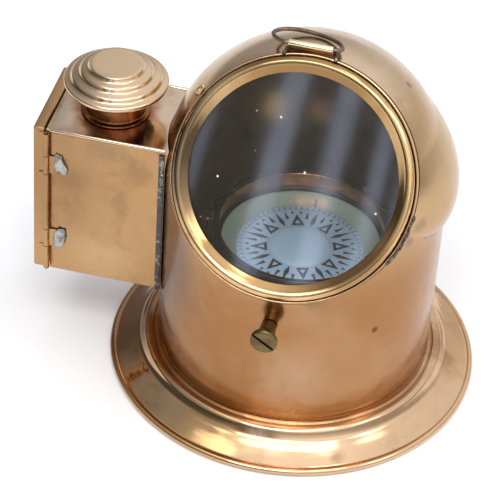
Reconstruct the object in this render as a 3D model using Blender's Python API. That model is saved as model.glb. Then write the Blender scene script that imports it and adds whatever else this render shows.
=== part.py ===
"""Boat binnacle compass: gimballed compass under a glazed copper hood, with an oil-lamp house on its side.

The hood stands on +Z, the sloping window faces -Y and the lamp house is on -X.
The origin is at the centre of the base underside, and lengths are in metres.
"""

import math

import bmesh
import bpy
from mathutils import Matrix, Vector

GAP = 0.0003
SHEET = 0.0012

# Base
BASE_R = 0.105
BEAD_R = 0.002
BEAD_INNER_R = 0.1014
SLOPE_R = 0.092
SLOPE_Z = 0.0085
RIDGE_R = 0.086
RIDGE_Z = 0.0142
CREST_R = 0.0838
LEDGE_Z = 0.0165
LEDGE_INNER_R = 0.070
PLATE_R = 0.1004
PLATE_H = 0.0016

# Hood
HOOD_R = 0.0778
HOOD_FOOT_Z = LEDGE_Z + GAP
DOME_Z = 0.1327
HOOD_TOP_Z = DOME_Z + HOOD_R
BLISTER_AZIMUTH = math.radians(3.0)
BLISTER_HALF_ARC = math.radians(38.0)
BLISTER_Z = 0.143
BLISTER_HALF_Z = 0.027
BLISTER_DEPTH = 0.0062

# Window, in its own frame: w runs along the outward normal
WINDOW_CENTRE = Vector((0.0, -0.0422, 0.1578))
WINDOW_TILT = math.radians(55.6)
COLLAR_OUT_R = 0.0666
COLLAR_IN_R = 0.0654
COLLAR_LOW_W = -0.012
COLLAR_TOP_W = -0.0016
SEAT_R = 0.0575
SEAT_TOP_W = -0.0051
SEAL_R = 0.0640
GLASS_R = 0.0648
GLASS_H = 0.0020
GLASS_TOP_W = -0.0016
BEZEL_OUT_R = 0.0648
BEZEL_CROWN_R = 0.0600
BEZEL_IN_R = 0.0563
BEZEL_TOP_W = 0.0022

# Bail bracket and ring
BAIL_X = -0.0032
BAIL_Y = 0.0
BAIL_Z = 0.2144
BAIL_TUBE_R = 0.0020
BAIL_BORE_R = 0.0015
BAIL_TUBE_L = 0.0240
BAIL_WIRE_R = 0.00115
BAIL_REST = math.radians(-13.8)
FOOT_X = -0.0025
FOOT_HALF_W = 0.0148
FOOT_FRONT_Y = -0.0006
FOOT_BACK_Y = 0.0038
FOOT_H = 0.0010

# Gimbal
GIMBAL_Z = 0.0846
SCREW_HEAD_Y = 0.0923
SCREW_HEAD_R = 0.0075
SCREW_NECK_R = 0.00435
SCREW_SHANK_R = 0.0025
SCREW_TIP_R = 0.0016
SCREW_TIP_Y = 0.0536
SLOT_W = 0.0016
SLOT_ANGLE = math.radians(34.0)
BOSS_R = 0.0060
BOSS_Y0 = 0.0700
BOSS_Y1 = 0.0760
RING_IN_R = 0.0540
RING_OUT_R = 0.0565
RING_H = 0.0070
PIN_R = 0.0013
PIN_IN_X = 0.0497
PIN_OUT_X = 0.0580

# Bowl
BOWL_R = 0.0480
BOWL_WALL = 0.0015
BOWL_TOP_Z = 0.0820
BOWL_SIDE_Z = 0.0640
BOWL_BOTTOM_Z = 0.0395
BOWL_REBATE_R = 0.0472
BOWL_REBATE_Z = 0.0800
LUG_W = 0.0080
BOWL_BEZEL_OUT_R = 0.0492
BOWL_BEZEL_IN_R = 0.0445
BOWL_BEZEL_TOP_Z = 0.0930
BOWL_BEZEL_WALL_R = 0.0462
BOWL_GLASS_R = 0.0468
WEIGHT_R = 0.0160
WEIGHT_H = 0.0085

# Card
CARD_R = 0.0362
CARD_TOP_Z = 0.0775
CARD_H = 0.0008
CARD_BOSS_R = 0.0177
FLOAT_R = 0.0140
FLOAT_BOTTOM_Z = 0.0665
POST_TOP_Z = 0.0705
MAGNET_X = 0.0200
MAGNET_L = 0.0400
MAGNET_S = 0.0030

# Lamp house
HOUSE_HALF_Y = 0.0290
HOUSE_TOP_Z = 0.1496
HOUSE_BOTTOM_Z = 0.0513
HOUSE_END_X = -0.1378
HOOD_CLEAR_R = HOOD_R + 0.0005
EDGE_BEAD_R = 0.0011
STRIP_W = 0.0030
STRIP_H = 0.0007
SPIGOT_HALF_Y = 0.0272
SPIGOT_TOP_Z = 0.1478
SPIGOT_BOTTOM_Z = 0.0531
SPIGOT_OUT_X = -0.1440
SPIGOT_IN_X = -0.1330
DOOR_OUT_X = -0.1470
DOOR_LIP_X = -0.1406
HINGE_X = -0.1392
HINGE_Y = -0.0302
HINGE_PIN_R = 0.0008
KNUCKLE_OUT_R = 0.0018
KNUCKLE_IN_R = 0.0011
HINGE_ZS = (0.0747, 0.1262)
LEAF_H = 0.0120
LEAF_W = 0.0050

# Light port
PORT_Z = 0.1000
PORT_HOLE_R = 0.0180
PORT_OUT_R = 0.0177
PORT_IN_R = 0.0160
PORT_OUT_X = -0.0830
PORT_IN_X = -0.0700

# Chimney
CHIMNEY_X = -0.1086
NECK_OUT_R = 0.0165
NECK_IN_R = 0.0153
NECK_TOP_Z = 0.1628
NECK_FLANGE_R = 0.0195
SLEEVE_OUT_R = 0.0149
SLEEVE_IN_R = 0.0138
SLEEVE_LOW_Z = 0.1560
CAP_RIM_R = 0.0288
CAP_RIM_Z = 0.1699
VENT_Z = 0.1709
VENT_R = 0.0029
CAP_TOP_Z = 0.1806
CAP_TOP_R = 0.0150

# Oil lamp
TANK_R = 0.0215
TANK_LOW_Z = HOUSE_BOTTOM_Z + SHEET + GAP
TANK_SIDE_Z = 0.0720
TANK_TOP_Z = 0.0780
BURNER_Z = 0.0783
BURNER_TOP_Z = 0.0880
BURNER_R = 0.0100
WICK_TUBE_R = 0.0045
WICK_TUBE_TOP_Z = 0.0990
WICK_R = 0.0030
WICK_TOP_Z = 0.1020
KNOB_Z = 0.0925
KNOB_R = 0.0045

COPPER = ("polished_copper", (0.80, 0.50, 0.32), 0.20, 1.0)
FLANGE_COPPER = ("flange_copper", (0.82, 0.48, 0.26), 0.14, 1.0)
BRIGHT_BRASS = ("bright_brass", (0.88, 0.66, 0.34), 0.16, 1.0)
LAMP_BRASS = ("lamp_brass", (0.74, 0.52, 0.29), 0.26, 1.0)
BROWN_BRASS = ("heat_browned_brass", (0.42, 0.28, 0.16), 0.38, 1.0)
AGED_BRASS = ("aged_brass", (0.33, 0.28, 0.18), 0.36, 1.0)
DARK_BRONZE = ("dark_bronze", (0.16, 0.10, 0.08), 0.36, 1.0)
BLACK_BRASS = ("blackened_brass", (0.06, 0.055, 0.05), 0.42, 0.8)
CLEAR_GLASS = ("clear_glass", (0.90, 0.95, 0.96), 0.03, 0.0)
BOWL_PAINT = ("bowl_paint", (0.66, 0.72, 0.64), 0.45, 0.0)
CARD_WHITE = ("card_white", (0.84, 0.89, 0.92), 0.55, 0.0)
LEAD_GREY = ("lead_grey", (0.24, 0.24, 0.25), 0.60, 0.9)
STEEL = ("steel", (0.55, 0.56, 0.58), 0.30, 1.0)
PUTTY = ("putty", (0.30, 0.27, 0.22), 0.80, 0.0)
WICK_COTTON = ("wick_cotton", (0.82, 0.78, 0.68), 0.90, 0.0)


def clear_scene():
    for obj in list(bpy.data.objects):
        bpy.data.objects.remove(obj, do_unlink=True)


def material(spec):
    name, colour, roughness, metallic = spec
    found = bpy.data.materials.get(name)
    if found:
        return found
    made = bpy.data.materials.new(name)
    made.use_nodes = True
    shader = made.node_tree.nodes["Principled BSDF"]
    shader.inputs["Base Color"].default_value = (*colour, 1.0)
    shader.inputs["Roughness"].default_value = roughness
    shader.inputs["Metallic"].default_value = metallic
    if spec is CLEAR_GLASS:
        shader.inputs["Transmission Weight"].default_value = 1.0
    return made


def finish(name, bm, spec, smooth=35.0):
    """Turn the bmesh into a named object with its material."""
    bmesh.ops.recalc_face_normals(bm, faces=bm.faces)
    mesh = bpy.data.meshes.new(name)
    bm.to_mesh(mesh)
    bm.free()
    obj = bpy.data.objects.new(name, mesh)
    bpy.context.scene.collection.objects.link(obj)
    if spec is not None:
        mesh.materials.append(material(spec))
        mesh.shade_smooth()
        mesh.set_sharp_from_angle(angle=math.radians(smooth))
    return obj


def move_origin(obj, point):
    """Put the object's origin on its joint axis without moving its mesh."""
    shift = Vector(point)
    obj.data.transform(Matrix.Translation(-shift))
    obj.location = shift


def revolved(profile, steps, frame):
    """A bmesh turned from (radius, height) points about the frame's Z, in the frame."""
    bm = bmesh.new()
    rings = []
    for radius, height in profile:
        if radius <= 0.0:
            rings.append([bm.verts.new(frame @ Vector((0.0, 0.0, height)))])
            continue
        ring = []
        for i in range(steps):
            turn = 2.0 * math.pi * i / steps
            point = Vector((radius * math.cos(turn), radius * math.sin(turn), height))
            ring.append(bm.verts.new(frame @ point))
        rings.append(ring)
    pairs = list(zip(rings, rings[1:]))
    if profile[0][0] > 0.0:
        pairs.append((rings[-1], rings[0]))
    for low, high in pairs:
        join_rings(bm, low, high, steps)
    return bm


def join_rings(bm, low, high, steps):
    for i in range(steps):
        j = (i + 1) % steps
        if len(low) == 1 and len(high) == 1:
            continue
        if len(low) == 1:
            bm.faces.new((low[0], high[i], high[j]))
        elif len(high) == 1:
            bm.faces.new((low[i], low[j], high[0]))
        else:
            bm.faces.new((low[i], low[j], high[j], high[i]))


def turned(name, profile, steps, spec, frame=None, smooth=35.0):
    return finish(name, revolved(profile, steps, frame or Matrix()), spec, smooth)


def along(axis, origin):
    """A frame whose Z lies along the axis."""
    z = Vector(axis).normalized()
    side = Vector((0.0, 0.0, 1.0)) if abs(z.z) < 0.9 else Vector((1.0, 0.0, 0.0))
    x = side.cross(z).normalized()
    y = z.cross(x)
    turn = Matrix((x, y, z)).transposed().to_4x4()
    return Matrix.Translation(Vector(origin)) @ turn


def at(x=0.0, y=0.0, z=0.0):
    return Matrix.Translation((x, y, z))


def box_mesh(low, high):
    bm = bmesh.new()
    bmesh.ops.create_cube(bm, size=1.0)
    centre = (Vector(low) + Vector(high)) / 2.0
    size = Vector(high) - Vector(low)
    for vert in bm.verts:
        vert.co = Vector(a * b for a, b in zip(vert.co, size)) + centre
    return bm


def box(name, low, high, spec, bevel=0.0):
    obj = finish(name, box_mesh(low, high), spec)
    if bevel:
        add_bevel(obj, bevel)
    return obj


def add_bevel(obj, width, segments=2):
    modifier = obj.modifiers.new("edge", "BEVEL")
    modifier.width = width
    modifier.segments = segments
    modifier.limit_method = "ANGLE"


def hide(obj):
    obj.hide_render = True
    obj.display_type = "WIRE"


def combine(target, other, operation):
    modifier = target.modifiers.new(operation.lower(), "BOOLEAN")
    modifier.operation = operation
    modifier.solver = "EXACT"
    modifier.object = other
    hide(other)


def cut(target, cutter):
    combine(target, cutter, "DIFFERENCE")


def join(target, other):
    combine(target, other, "UNION")


def drill(target, axis, origin, radius, low, high, steps=24):
    """Cut a round hole along the axis, from low to high beyond the origin."""
    profile = [(0.0, high), (radius, high), (radius, low), (0.0, low)]
    cutter = turned(target.name + "_drill", profile, steps, None, along(axis, origin))
    cut(target, cutter)


def arc(centre_r, centre_z, radius, start, end, count):
    points = []
    for i in range(count + 1):
        turn = math.radians(start + (end - start) * i / count)
        points.append((centre_r + radius * math.cos(turn), centre_z + radius * math.sin(turn)))
    return points


def window_frame():
    normal = Vector((0.0, -math.sin(WINDOW_TILT), math.cos(WINDOW_TILT)))
    return along(normal, WINDOW_CENTRE)


# Base


def make_base_flange():
    centre_r = BASE_R - BEAD_R
    bead = arc(centre_r, BEAD_R, BEAD_R, 135.0, -180.0, 7)
    profile = [
        (LEDGE_INNER_R, LEDGE_Z),
        (CREST_R, LEDGE_Z),
        (CREST_R + 0.0010, LEDGE_Z - 0.0004),
        (RIDGE_R, RIDGE_Z),
        (RIDGE_R + 0.0022, RIDGE_Z - 0.0030),
        (SLOPE_R, SLOPE_Z),
    ]
    profile += bead
    profile += [
        (SLOPE_R - 0.0006, SLOPE_Z - SHEET),
        (RIDGE_R + 0.0008, RIDGE_Z - 0.0038),
        (RIDGE_R - SHEET, RIDGE_Z - 0.0006),
        (CREST_R - 0.0008, LEDGE_Z - SHEET),
        (LEDGE_INNER_R, LEDGE_Z - SHEET),
    ]
    turned("base_flange", profile, 48, FLANGE_COPPER)


def make_base_plate():
    profile = [(0.0, PLATE_H), (PLATE_R, PLATE_H), (PLATE_R, 0.0), (0.0, 0.0)]
    turned("base_plate", profile, 32, LAMP_BRASS)


# Hood


def blister_offset(turn, z):
    """How far the pressed side blister lifts the wall at this azimuth and height."""
    along_arc = (turn - BLISTER_AZIMUTH) / BLISTER_HALF_ARC
    up = (z - BLISTER_Z) / BLISTER_HALF_Z
    reach = 1.0 - along_arc * along_arc - up * up
    if reach <= 0.0:
        return 0.0
    return BLISTER_DEPTH * math.sqrt(reach) * min(1.0, reach * 3.0)


def lift_blister(bm, centre_z):
    for vert in bm.verts:
        turn = math.atan2(vert.co.y, vert.co.x)
        lift = blister_offset(turn, vert.co.z)
        if lift == 0.0:
            continue
        out = Vector((vert.co.x, vert.co.y, max(0.0, vert.co.z - centre_z))).normalized()
        vert.co += out * lift


def dome_profile(radius, foot_z):
    """From the crown down to the foot."""
    points = [(0.0, DOME_Z + radius)]
    for angle in (80.0, 70.0, 60.0, 50.0, 40.0, 31.0, 24.0, 17.0, 11.0, 5.0):
        turn = math.radians(angle)
        points.append((radius * math.cos(turn), DOME_Z + radius * math.sin(turn)))
    for z in (DOME_Z, 0.126, 0.120, 0.114, foot_z):
        points.append((radius, z))
    return points


def make_hood_shell():
    outer = dome_profile(HOOD_R, HOOD_FOOT_Z)
    inner = dome_profile(HOOD_R - SHEET, HOOD_FOOT_Z)
    bm = revolved(outer + list(reversed(inner)), 48, Matrix())
    lift_blister(bm, DOME_Z)
    obj = finish("hood_shell", bm, COPPER)
    drill(obj, window_frame().col[2].to_3d(), WINDOW_CENTRE, COLLAR_OUT_R + GAP, -0.020, 0.042, 48)
    drill(obj, (-1.0, 0.0, 0.0), (0.0, 0.0, PORT_Z), PORT_HOLE_R, 0.060, 0.095, 24)
    drill(obj, (0.0, -1.0, 0.0), (0.0, 0.0, GIMBAL_Z), SCREW_SHANK_R + GAP, 0.060, 0.090, 12)
    drill(obj, (0.0, 1.0, 0.0), (0.0, 0.0, GIMBAL_Z), SCREW_SHANK_R + GAP, 0.060, 0.090, 12)


# Window


def make_window_collar():
    profile = [
        (COLLAR_OUT_R, COLLAR_TOP_W),
        (COLLAR_OUT_R, COLLAR_LOW_W),
        (COLLAR_IN_R, COLLAR_LOW_W),
        (COLLAR_IN_R, SEAT_TOP_W - SHEET),
        (SEAT_R, SEAT_TOP_W - SHEET),
        (SEAT_R, SEAT_TOP_W),
        (COLLAR_IN_R, SEAT_TOP_W),
        (COLLAR_IN_R, COLLAR_TOP_W),
    ]
    turned("window_collar", profile, 48, COPPER, window_frame())


def make_window_seal():
    top = GLASS_TOP_W - GLASS_H - GAP
    low = SEAT_TOP_W + GAP
    profile = [(SEAL_R, top), (SEAL_R, low), (SEAT_R, low), (SEAT_R, top)]
    turned("window_seal", profile, 32, PUTTY, window_frame())


def make_window_glass():
    low = GLASS_TOP_W - GLASS_H
    profile = [(0.0, GLASS_TOP_W), (GLASS_R, GLASS_TOP_W), (GLASS_R, low), (0.0, low)]
    turned("window_glass", profile, 40, CLEAR_GLASS, window_frame())


def make_window_bezel():
    low = GLASS_TOP_W + GAP
    profile = [
        (BEZEL_OUT_R, BEZEL_TOP_W - 0.0018),
        (BEZEL_OUT_R, low),
        (BEZEL_IN_R, low),
        (BEZEL_IN_R, low + 0.0006),
        (BEZEL_CROWN_R - 0.0006, BEZEL_TOP_W - 0.0010),
        (BEZEL_CROWN_R, BEZEL_TOP_W - 0.0002),
        (BEZEL_CROWN_R + 0.0010, BEZEL_TOP_W),
        (BEZEL_OUT_R - 0.0016, BEZEL_TOP_W),
        (BEZEL_OUT_R - 0.0004, BEZEL_TOP_W - 0.0007),
    ]
    turned("window_bezel", profile, 48, BRIGHT_BRASS, window_frame())


# Bail


def dome_height(x, y, radius):
    return DOME_Z + math.sqrt(radius * radius - x * x - y * y)


def foot_mesh():
    """A strip that follows the dome crown."""
    bm = bmesh.new()
    columns = 8
    layers = []
    for lift in (GAP, GAP + FOOT_H):
        grid = []
        for i in range(columns + 1):
            x = FOOT_X + FOOT_HALF_W * (2.0 * i / columns - 1.0)
            row = []
            for y in (FOOT_FRONT_Y, FOOT_BACK_Y):
                z = dome_height(x, y, HOOD_R + lift)
                row.append(bm.verts.new((x, y, z)))
            grid.append(row)
        layers.append(grid)
    low, high = layers
    for i in range(columns):
        bm.faces.new((low[i][0], low[i][1], low[i + 1][1], low[i + 1][0]))
        bm.faces.new((high[i][0], high[i + 1][0], high[i + 1][1], high[i][1]))
        bm.faces.new((low[i][0], low[i + 1][0], high[i + 1][0], high[i][0]))
        bm.faces.new((low[i][1], high[i][1], high[i + 1][1], low[i + 1][1]))
    for i in (0, columns):
        bm.faces.new((low[i][0], high[i][0], high[i][1], low[i][1]))
    return bm


def make_bail_bracket():
    half = BAIL_TUBE_L / 2.0
    frame = along((1.0, 0.0, 0.0), (BAIL_X, BAIL_Y, BAIL_Z))
    profile = [(0.0, half), (BAIL_TUBE_R, half), (BAIL_TUBE_R, -half), (0.0, -half)]
    obj = turned("bail_bracket", profile, 14, BRIGHT_BRASS, frame)
    low_z = dome_height(half, 0.0, HOOD_R) + FOOT_H
    low = (BAIL_X - half + 0.0004, BAIL_Y - 0.0007, low_z)
    high = (BAIL_X + half - 0.0004, BAIL_Y + 0.0007, BAIL_Z - 0.0008)
    web = box_mesh(low, high)
    join(obj, finish("bail_web", web, None))
    join(obj, finish("bail_foot", foot_mesh(), None))
    drill(obj, (1.0, 0.0, 0.0), (BAIL_X, BAIL_Y, BAIL_Z), BAIL_BORE_R, -0.02, 0.02, 14)


def bail_path():
    """Centre line of the wire in its own plane: x across, y away from the tube."""
    corners = [(-0.0120, 0.0), (0.0, 0.0), (0.0118, 0.0), (0.0146, 0.0007), (0.0162, 0.0028), (0.0160, 0.0062)]
    corners += [(0.0130, 0.0112), (0.0077, 0.0155), (0.0, 0.0186), (-0.0080, 0.0200), (-0.0150, 0.0192)]
    corners += [(-0.0198, 0.0160), (-0.0222, 0.0112), (-0.0214, 0.0062), (-0.0184, 0.0026), (-0.0150, 0.0005)]
    points = []
    total = len(corners)
    for i in range(total):
        a, b, c, d = (Vector(corners[(i + k) % total]) for k in (-1, 0, 1, 2))
        for t in (0.0, 0.5):
            spot = 2.0 * b + (c - a) * t + (2.0 * a - 5.0 * b + 4.0 * c - d) * t ** 2
            spot += (3.0 * b - a - 3.0 * c + d) * t ** 3
            points.append((spot.x / 2.0, spot.y / 2.0))
    return points


def sweep(points, radius, sides):
    """A closed wire: one circle section at each point of a closed centre line in the XY plane."""
    bm = bmesh.new()
    rings = []
    count = len(points)
    for i, point in enumerate(points):
        before = Vector(points[i - 1])
        after = Vector(points[(i + 1) % count])
        tangent = (after - before).normalized()
        normal = Vector((-tangent.y, tangent.x, 0.0))
        ring = []
        for k in range(sides):
            turn = 2.0 * math.pi * k / sides
            offset = normal * (radius * math.cos(turn)) + Vector((0.0, 0.0, radius * math.sin(turn)))
            ring.append(bm.verts.new(Vector((point[0], point[1], 0.0)) + offset))
        rings.append(ring)
    for low, high in zip(rings, rings[1:] + rings[:1]):
        join_rings(bm, low, high, sides)
    return bm


def make_bail_ring():
    bm = sweep(bail_path(), BAIL_WIRE_R, 8)
    turn = Matrix.Rotation(BAIL_REST, 4, "X")
    bmesh.ops.transform(bm, matrix=at(BAIL_X, BAIL_Y, BAIL_Z) @ turn, verts=bm.verts)
    obj = finish("bail_ring", bm, DARK_BRONZE, 60.0)
    move_origin(obj, (BAIL_X, BAIL_Y, BAIL_Z))


# Gimbal


def screw_profile():
    return [
        (0.0, SCREW_HEAD_Y),
        (SCREW_HEAD_R - 0.0006, SCREW_HEAD_Y),
        (SCREW_HEAD_R, SCREW_HEAD_Y - 0.0006),
        (SCREW_HEAD_R, SCREW_HEAD_Y - 0.0026),
        (SCREW_HEAD_R - 0.0008, SCREW_HEAD_Y - 0.0032),
        (SCREW_HEAD_R - 0.0022, SCREW_HEAD_Y - 0.0060),
        (SCREW_NECK_R + 0.0004, SCREW_HEAD_Y - 0.0072),
        (SCREW_NECK_R + 0.0004, SCREW_HEAD_Y - 0.0088),
        (SCREW_NECK_R, SCREW_HEAD_Y - 0.0092),
        (SCREW_NECK_R, HOOD_R + GAP),
        (SCREW_SHANK_R, HOOD_R + GAP),
        (SCREW_SHANK_R, 0.0610),
        (SCREW_TIP_R, 0.0600),
        (SCREW_TIP_R, SCREW_TIP_Y + 0.0008),
        (SCREW_TIP_R * 0.5, SCREW_TIP_Y),
        (0.0, SCREW_TIP_Y),
    ]


def make_pivot_screws():
    for name, side, angle in (("pivot_screw_front", -1.0, SLOT_ANGLE), ("pivot_screw_rear", 1.0, 0.3)):
        frame = along((0.0, side, 0.0), (0.0, 0.0, GIMBAL_Z))
        obj = turned(name, screw_profile(), 20, AGED_BRASS, frame)
        slot = box_mesh((-0.010, -0.0014, -SLOT_W / 2.0), (0.010, 0.0014, SLOT_W / 2.0))
        spot = at(0.0, side * SCREW_HEAD_Y, GIMBAL_Z) @ Matrix.Rotation(angle, 4, "Y")
        bmesh.ops.transform(slot, matrix=spot, verts=slot.verts)
        cut(obj, finish(name + "_slot", slot, None))


def make_pivot_bosses():
    bore = SCREW_SHANK_R + GAP
    profile = [(BOSS_R, BOSS_Y1), (BOSS_R, BOSS_Y0), (bore, BOSS_Y0), (bore, BOSS_Y1)]
    for name, side in (("pivot_boss_front", -1.0), ("pivot_boss_rear", 1.0)):
        turned(name, profile, 16, LAMP_BRASS, along((0.0, side, 0.0), (0.0, 0.0, GIMBAL_Z)))


def make_gimbal_ring():
    low = GIMBAL_Z - RING_H / 2.0
    high = GIMBAL_Z + RING_H / 2.0
    profile = [(RING_OUT_R, high), (RING_OUT_R, low), (RING_IN_R, low), (RING_IN_R, high)]
    obj = turned("gimbal_ring", profile, 40, COPPER)
    drill(obj, (0.0, 1.0, 0.0), (0.0, 0.0, GIMBAL_Z), SCREW_TIP_R + GAP, -0.07, 0.07, 10)
    drill(obj, (1.0, 0.0, 0.0), (0.0, 0.0, GIMBAL_Z), PIN_R + GAP, -0.07, 0.07, 10)
    move_origin(obj, (0.0, 0.0, GIMBAL_Z))


def make_inner_pivots():
    profile = [
        (0.0, PIN_OUT_X + 0.0012),
        (PIN_R + 0.0010, PIN_OUT_X + 0.0012),
        (PIN_R + 0.0010, PIN_OUT_X - 0.0008),
        (PIN_R, PIN_OUT_X - 0.0008),
        (PIN_R, PIN_IN_X),
        (0.0, PIN_IN_X),
    ]
    for name, side in (("inner_pivot_left", -1.0), ("inner_pivot_right", 1.0)):
        turned(name, profile, 10, AGED_BRASS, along((side, 0.0, 0.0), (0.0, 0.0, GIMBAL_Z)))


# Bowl


def make_compass_bowl():
    inner = BOWL_R - BOWL_WALL
    floor_z = BOWL_BOTTOM_Z + BOWL_WALL
    outer_curve = [
        (BOWL_R, BOWL_TOP_Z),
        (BOWL_R, BOWL_SIDE_Z),
        (BOWL_R * 0.965, BOWL_SIDE_Z - 0.0080),
        (BOWL_R * 0.860, BOWL_SIDE_Z - 0.0155),
        (BOWL_R * 0.680, BOWL_SIDE_Z - 0.0210),
        (BOWL_R * 0.450, BOWL_BOTTOM_Z),
        (0.0, BOWL_BOTTOM_Z),
    ]
    inner_curve = [
        (0.0, floor_z),
        (BOWL_R * 0.440, floor_z),
        (inner * 0.680, BOWL_SIDE_Z - 0.0195),
        (inner * 0.860, BOWL_SIDE_Z - 0.0143),
        (inner * 0.965, BOWL_SIDE_Z - 0.0073),
        (inner, BOWL_SIDE_Z),
        (inner, BOWL_REBATE_Z),
        (BOWL_REBATE_R, BOWL_REBATE_Z),
        (BOWL_REBATE_R, BOWL_TOP_Z),
    ]
    profile = list(reversed(outer_curve)) + list(reversed(inner_curve))
    obj = turned("compass_bowl", profile, 36, BOWL_PAINT)
    for side in (-1.0, 1.0):
        near = side * (BOWL_R - 0.0004)
        far = side * (RING_IN_R - 0.0015)
        low = (min(near, far), -LUG_W / 2.0, BOWL_TOP_Z - 0.0080)
        high = (max(near, far), LUG_W / 2.0, GIMBAL_Z + 0.0032)
        join(obj, finish("bowl_lug", box_mesh(low, high), None))
    drill(obj, (1.0, 0.0, 0.0), (0.0, 0.0, GIMBAL_Z), PIN_R + GAP, -0.06, 0.06, 10)
    drill(obj, (0.0, 0.0, 1.0), (0.0, 0.0, 0.0), BOWL_BEZEL_OUT_R + GAP, BOWL_TOP_Z, 0.095, 36)
    move_origin(obj, (0.0, 0.0, GIMBAL_Z))


def make_bowl_weight():
    high = BOWL_BOTTOM_Z - GAP
    low = high - WEIGHT_H
    profile = [(0.0, high), (WEIGHT_R, high), (WEIGHT_R, low + 0.002), (WEIGHT_R - 0.002, low), (0.0, low)]
    turned("bowl_weight", profile, 20, LEAD_GREY)


def make_bowl_bezel():
    low = BOWL_TOP_Z + GAP
    profile = [
        (BOWL_BEZEL_OUT_R, BOWL_BEZEL_TOP_Z - 0.0006),
        (BOWL_BEZEL_OUT_R, low),
        (BOWL_BEZEL_IN_R, low),
        (BOWL_BEZEL_IN_R, low + 0.0008),
        (BOWL_BEZEL_WALL_R, low + 0.0018),
        (BOWL_BEZEL_WALL_R, BOWL_BEZEL_TOP_Z - 0.0006),
        (BOWL_BEZEL_WALL_R + 0.0006, BOWL_BEZEL_TOP_Z),
        (BOWL_BEZEL_OUT_R - 0.0006, BOWL_BEZEL_TOP_Z),
    ]
    turned("bowl_bezel", profile, 40, BLACK_BRASS)


def make_bowl_glass():
    high = BOWL_TOP_Z
    low = BOWL_REBATE_Z + GAP
    profile = [(0.0, high), (BOWL_GLASS_R, high), (BOWL_GLASS_R, low), (0.0, low)]
    turned("bowl_glass", profile, 32, CLEAR_GLASS)


def make_lubber_line():
    inner = BOWL_R - BOWL_WALL - GAP
    bm = box_mesh((-0.0006, inner - 0.0050, 0.0655), (0.0006, inner - 0.0042, 0.0790))
    obj = finish("lubber_line", bm, BLACK_BRASS)
    foot = box_mesh((-0.0015, inner - 0.0048, 0.0655), (0.0015, inner - 0.0003, 0.0672))
    join(obj, finish("lubber_foot", foot, None))


def make_filler_plug():
    direction = Vector((-0.7, -0.7, 0.0)).normalized()
    start = BOWL_R + GAP
    profile = [
        (0.0, start + 0.0026),
        (0.0028, start + 0.0026),
        (0.0034, start + 0.0020),
        (0.0034, start),
        (0.0, start),
    ]
    turned("filler_plug", profile, 12, AGED_BRASS, along(direction, (0.0, 0.0, 0.0720)))


# Card


def make_pivot_post():
    floor_z = BOWL_BOTTOM_Z + BOWL_WALL + GAP
    profile = [
        (0.0, POST_TOP_Z),
        (0.0005, POST_TOP_Z - 0.0004),
        (0.0016, POST_TOP_Z - 0.0050),
        (0.0022, POST_TOP_Z - 0.0060),
        (0.0022, floor_z + 0.0040),
        (0.0060, floor_z + 0.0015),
        (0.0060, floor_z),
        (0.0, floor_z),
    ]
    turned("pivot_post", profile, 12, LAMP_BRASS)


def make_compass_card():
    low = CARD_TOP_Z - CARD_H
    profile = [(0.0, CARD_TOP_Z), (CARD_R, CARD_TOP_Z), (CARD_R, low), (0.0, low)]
    turned("compass_card", profile, 40, CARD_WHITE)


def make_card_float():
    high = CARD_TOP_Z - CARD_H - GAP
    profile = [
        (0.0, high),
        (FLOAT_R, high),
        (FLOAT_R, high - 0.0030),
        (FLOAT_R * 0.82, high - 0.0068),
        (FLOAT_R * 0.50, FLOAT_BOTTOM_Z),
        (0.0036, FLOAT_BOTTOM_Z),
        (0.0009, POST_TOP_Z + GAP + 0.0002),
        (0.0, POST_TOP_Z + GAP + 0.0002),
    ]
    turned("card_float", profile, 20, LAMP_BRASS)


def make_card_boss():
    low = CARD_TOP_Z + GAP
    profile = [
        (0.0, low + 0.0014),
        (CARD_BOSS_R * 0.55, low + 0.0012),
        (CARD_BOSS_R * 0.88, low + 0.0008),
        (CARD_BOSS_R, low + 0.0003),
        (CARD_BOSS_R, low),
        (0.0, low),
    ]
    turned("card_boss", profile, 28, CARD_WHITE)


def make_magnets():
    high = CARD_TOP_Z - CARD_H - GAP
    half = MAGNET_S / 2.0
    for name, x in (("magnet_left", -MAGNET_X), ("magnet_right", MAGNET_X)):
        low_corner = (x - half, -MAGNET_L / 2.0, high - MAGNET_S)
        high_corner = (x + half, MAGNET_L / 2.0, high)
        box(name, low_corner, high_corner, STEEL)


# Lamp house


def hood_cutter(name):
    """The hood outline with a little clearance, to trim what meets it."""
    profile = dome_profile(HOOD_CLEAR_R, 0.0)
    profile.append((0.0, 0.0))
    return turned(name, profile, 48, None)


def make_lamp_house_walls():
    top = HOUSE_TOP_Z - SHEET - GAP
    obj = box(
        "lamp_house_walls",
        (HOUSE_END_X, -HOUSE_HALF_Y, HOUSE_BOTTOM_Z),
        (-0.060, HOUSE_HALF_Y, top),
        LAMP_BRASS,
    )
    inside = HOUSE_HALF_Y - SHEET
    hollow = box_mesh((HOUSE_END_X - 0.01, -inside, HOUSE_BOTTOM_Z + SHEET), (-0.050, inside, top + 0.01))
    cut(obj, finish("lamp_house_hollow", hollow, None))
    cut(obj, hood_cutter("walls_trim"))


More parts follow.
